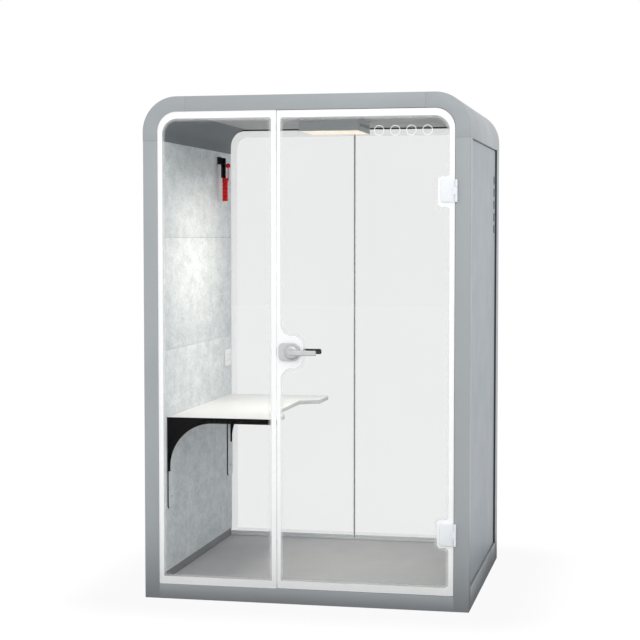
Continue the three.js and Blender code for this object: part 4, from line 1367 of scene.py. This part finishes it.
class POD_OT_hammer(bpy.types.Operator):
    """Model the emergency hammer and its holder"""

    bl_idname = "pod.hammer"
    bl_label = "Emergency hammer"

    RIBS, RIB_START, RIB_PITCH, RIB_DEPTH = 5, 0.014, 0.018, 0.0018
    KNOB, STEM = 0.0125, 0.0025  # radii
    HEAD_BAND = 0.028  # height of the head's wide top
    NECK_WIDTH, NECK_HEIGHT = 0.021, 0.050

    def execute(self, context):
        self.handle()
        self.head()
        self.holder()
        return {"FINISHED"}

    def handle(self):
        """Ribbed red grip with its stem and knob."""
        low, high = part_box("hammer_handle")
        radius, waist = (high[1] - low[1]) / 2, (high[1] - low[1]) / 2 - self.RIB_DEPTH
        x, y = low[0] + radius, (low[1] + high[1]) / 2
        grip_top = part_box("hammer_head")[0][2] - CLEARANCE
        length = grip_top - low[2]
        profile = [(0.0, radius - 0.004), (0.0015, radius - 0.0015), (0.004, radius)]
        for rib in range(self.RIBS):
            foot = self.RIB_START + rib * self.RIB_PITCH
            profile += [(foot, radius), (foot + 0.002, waist), (foot + 0.006, waist), (foot + 0.008, radius)]
        profile += [(length - 0.003, radius), (length - 0.001, radius - 0.001), (length, radius - 0.003)]
        piece = add_turned("hammer_handle_grip", profile, upright(x, y, low[2]))
        knob_x, knob_z, foot_z = high[0] - self.KNOB, high[2] - self.KNOB, grip_top - radius
        stem = add_turned("stem", rod_profile(knob_z - foot_z, self.STEM, 0.0003), upright(knob_x, y, foot_z))
        foot = add_block("foot", (x, y - self.STEM, foot_z),
                         (knob_x + self.STEM, y + self.STEM, grip_top - 0.0002))
        turns = [math.radians(step * 15.0) for step in range(1, 12)]
        ball = [(-self.KNOB * math.cos(t), self.KNOB * math.sin(t)) for t in turns]
        knob = add_turned("knob", ball, upright(knob_x, y, knob_z), around=32)
        weld(piece, foot, stem, knob)
        settle(piece, "hammer", "red_plastic", "Red moulded plastic", node="hammer_handle")

    def head(self):
        """Black head, wide at the top and narrow at the neck."""
        low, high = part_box("hammer_head")
        neck, band = high[0] - self.NECK_WIDTH, high[2] - self.HEAD_BAND
        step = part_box("hammer_holder")[1][0] + CLEARANCE
        outline = fillet([
            (neck, low[2], 0.002), (high[0], low[2], 0.002), (high[0], high[2], 0.006),
            (low[0], high[2], 0.001), (low[0], band, 0.001), (step, band, 0.0),
            (neck, low[2] + self.NECK_HEIGHT, 0.0),
        ], steps=8)
        piece = round_rims(add_plate("hammer_head_body", outline, in_xz, low[1], high[1]), 0.003, 4)
        settle(piece, "hammer", "black_paint", "Black powder coat", node="hammer_head")

    def holder(self):
        """Wall plate with two jaws that grip the head."""
        low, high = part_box("hammer_holder")
        head_low, head_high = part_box("hammer_head")
        face = head_low[0] - CLEARANCE
        bottom, top = head_high[2] - self.HEAD_BAND - CLEARANCE, head_high[2] + CLEARANCE
        outline = fillet([
            (low[0], low[2], 0.0), (high[0], low[2], 0.003), (high[0], bottom, 0.001), (face, bottom, 0.0),
            (face, top, 0.0), (high[0], top, 0.001), (high[0], high[2], 0.003), (low[0], high[2], 0.0),
        ], steps=6)
        piece = round_rims(add_plate("hammer_holder_clip", outline, in_xz, low[1], high[1]), 0.0008, 2)
        settle(piece, "pod", "dark_plastic", "Dark moulded plastic", node="hammer_holder")


# Stage

class POD_OT_stage(bpy.types.Operator):
    """Set up the floor, the soft studio light and the camera"""

    bl_idname = "pod.stage"
    bl_label = "Stage"

    FLOOR_SIZE, FLOOR_DROP = 60.0, 0.0005
    SHADOW_START, SHADOW_END, FLOOR_TONE = 0.14, 0.52, 0.85  # distances from the pod, tone beyond them
    FLOOR_WHITE, FLOOR_SHARE = 1.03, 0.92  # glow that the camera sees, and its share
    KEY_PLACE, KEY_AIM, KEY_SIZE = (0.9, -4.4, 4.3), (0.0, -0.4, 1.6), 3.0
    LAMP_WARMTH = (1.0, 0.94, 0.84)
    CABIN_SIZE, CABIN_SPREAD = 0.26, math.radians(62.0)
    WASH_SIZE, WASH_SPREAD = (0.80, 0.05), math.radians(70.0)
    WASH_X, WASH_AIM_X, WASH_AIM_Z, WASH_FORWARD = 0.08, 0.66, 1.39, 0.10

    def execute(self, context):
        settings = context.scene.pod_stage
        context.scene.view_settings.view_transform = "Standard"
        self.floor()
        self.sky(settings)
        self.lamp("Key", self.KEY_PLACE, self.KEY_AIM, self.KEY_SIZE, settings.key_power)
        self.cabin_lamps(settings)
        data = bpy.data.cameras.new("Camera")
        data.lens = settings.lens
        data.sensor_width = 36.0
        camera = bpy.data.objects.new("Camera", data)
        context.collection.objects.link(camera)
        camera.location = settings.camera_place
        camera.rotation_euler = settings.camera_turn
        context.scene.camera = camera
        return {"FINISHED"}

    def floor(self):
        """Pale floor that keeps a soft shadow."""
        start_clean()
        bpy.ops.mesh.primitive_plane_add(size=self.FLOOR_SIZE, location=(0.0, 0.0, -self.FLOOR_DROP))
        floor = call(bpy.context.object, "studio_floor")
        keep_transform()
        tree, shader = new_finish("Studio floor")
        reach = object_place(tree)
        for operation, inputs in (("ABSOLUTE", {}), ("SUBTRACT", {1: CAD_BOX[1]}), ("MAXIMUM", {})):
            reach = add_node(tree, "VectorMath", {0: reach, **inputs}, operation=operation).outputs["Vector"]
        distance = add_node(tree, "VectorMath", {0: reach}, operation="LENGTH")
        # painted shadow: the floor's own colour is black next to the pod and rises to FLOOR_TONE further out,
        # which darkens the light it bounces onto the pod's base
        tone = add_node(tree, "MapRange", {
            "Value": distance.outputs["Value"], "From Min": self.SHADOW_START, "From Max": self.SHADOW_END,
            "To Min": 0.0, "To Max": self.FLOOR_TONE}, interpolation_type="SMOOTHSTEP")
        feed(tree, shader, {
            "Base Color": tone.outputs["Result"], "Roughness": 0.9, "Specular IOR Level": 0.0})
        seen = any_ray(tree, "Is Camera Ray", "Is Transmission Ray")
        share = add_node(tree, "Math", {0: seen, 1: self.FLOOR_SHARE}, operation="MULTIPLY")
        white = add_node(tree, "Emission", {"Strength": self.FLOOR_WHITE})
        show_mix(tree, "Material Output", share.outputs["Value"], shader.outputs["BSDF"],
                 white.outputs["Emission"])
        floor.data.materials.append(bpy.data.materials["Studio floor"])

    def sky(self, settings):
        """White surroundings that light the pod evenly."""
        world = bpy.data.worlds.new("Studio")
        bpy.context.scene.world = world
        world.use_nodes = True
        tree = world.node_tree
        light = tree.nodes["Background"]
        feed(tree, light, {"Color": WHITE, "Strength": settings.sky_strength})
        white = add_node(tree, "Background", {"Color": WHITE, "Strength": 1.0})
        seen = any_ray(tree, "Is Camera Ray", "Is Transmission Ray", "Is Glossy Ray")
        show_mix(tree, "World Output", seen, light.outputs["Background"], white.outputs["Background"])

    def cabin_lamps(self, settings):
        """Light that the ceiling panel throws down and on both side walls."""
        low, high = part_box("light_diffuser")
        middle = (Vector(low) + Vector(high)) / 2
        y = middle.y - self.WASH_FORWARD
        cabin = self.lamp("Cabin", (middle.x, middle.y, low[2] - 0.004), (0.08, y, 0.0), self.CABIN_SIZE,
                          settings.cabin_power)
        cabin.data.spread = self.CABIN_SPREAD
        lamps = [cabin]
        for side, sign in SIDES.items():
            wash = self.lamp(f"Wash {side}", (-sign * self.WASH_X, y, low[2] - 0.03),
                             (sign * self.WASH_AIM_X, y, self.WASH_AIM_Z), self.WASH_SIZE[0],
                             settings.wash_power)
            wash.data.shape = "RECTANGLE"
            wash.data.size_y = self.WASH_SIZE[1]
            wash.data.spread = self.WASH_SPREAD
            lamps.append(wash)
        for lamp in lamps:
            lamp.data.color = self.LAMP_WARMTH
            lamp.visible_camera = False
            lamp.visible_glossy = False
            lamp.visible_transmission = False

    def lamp(self, name, where, aim, size, power):
        """One large soft lamp."""
        data = bpy.data.lights.new(name, "AREA")
        data.size = size
        data.energy = power
        lamp = bpy.data.objects.new(name, data)
        bpy.context.collection.objects.link(lamp)
        lamp.location = where
        lamp.rotation_euler = (Vector(aim) - Vector(where)).to_track_quat("-Z", "Y").to_euler()
        return lamp


# Sidebar

OPERATORS = (
    POD_OT_frame, POD_OT_shell, POD_OT_lining, POD_OT_light, POD_OT_glazing, POD_OT_hinges,
    POD_OT_lock, POD_OT_desk, POD_OT_socket, POD_OT_hammer, POD_OT_stage,
)


class POD_PT_sidebar(bpy.types.Panel):
    """Lists the pod's pieces and settings"""

    bl_idname = "POD_PT_sidebar"
    bl_label = "Acoustic pod"
    bl_space_type = "VIEW_3D"
    bl_region_type = "UI"
    bl_category = "Pod"

    def draw(self, context):
        layout = self.layout
        for operator in OPERATORS:
            layout.operator(operator.bl_idname)
        for group in (context.scene.pod_finishes, context.scene.pod_trim, context.scene.pod_stage):
            box = layout.box()
            for setting in group.__annotations__:
                box.prop(group, setting)


CLASSES = (PodFinishes, PodTrim, PodStage) + OPERATORS + (POD_PT_sidebar,)


def register():
    """Registers the classes and their settings."""
    for cls in CLASSES:
        bpy.utils.register_class(cls)
    bpy.types.Scene.pod_finishes = bpy.props.PointerProperty(type=PodFinishes)
    bpy.types.Scene.pod_trim = bpy.props.PointerProperty(type=PodTrim)
    bpy.types.Scene.pod_stage = bpy.props.PointerProperty(type=PodStage)


def unregister():
    """Removes the settings and the classes."""
    del bpy.types.Scene.pod_stage
    del bpy.types.Scene.pod_trim
    del bpy.types.Scene.pod_finishes
    for cls in reversed(CLASSES):
        bpy.utils.unregister_class(cls)


def main():
    """Builds the dressed pod in order."""
    register()
    bpy.ops.pod.frame()
    bpy.ops.pod.shell()
    bpy.ops.pod.lining()
    bpy.ops.pod.light()
    bpy.ops.pod.glazing()
    bpy.ops.pod.hinges()
    bpy.ops.pod.lock()
    bpy.ops.pod.desk()
    bpy.ops.pod.socket()
    bpy.ops.pod.hammer()
    bpy.ops.pod.stage()


if __name__ == "__main__":
    main()
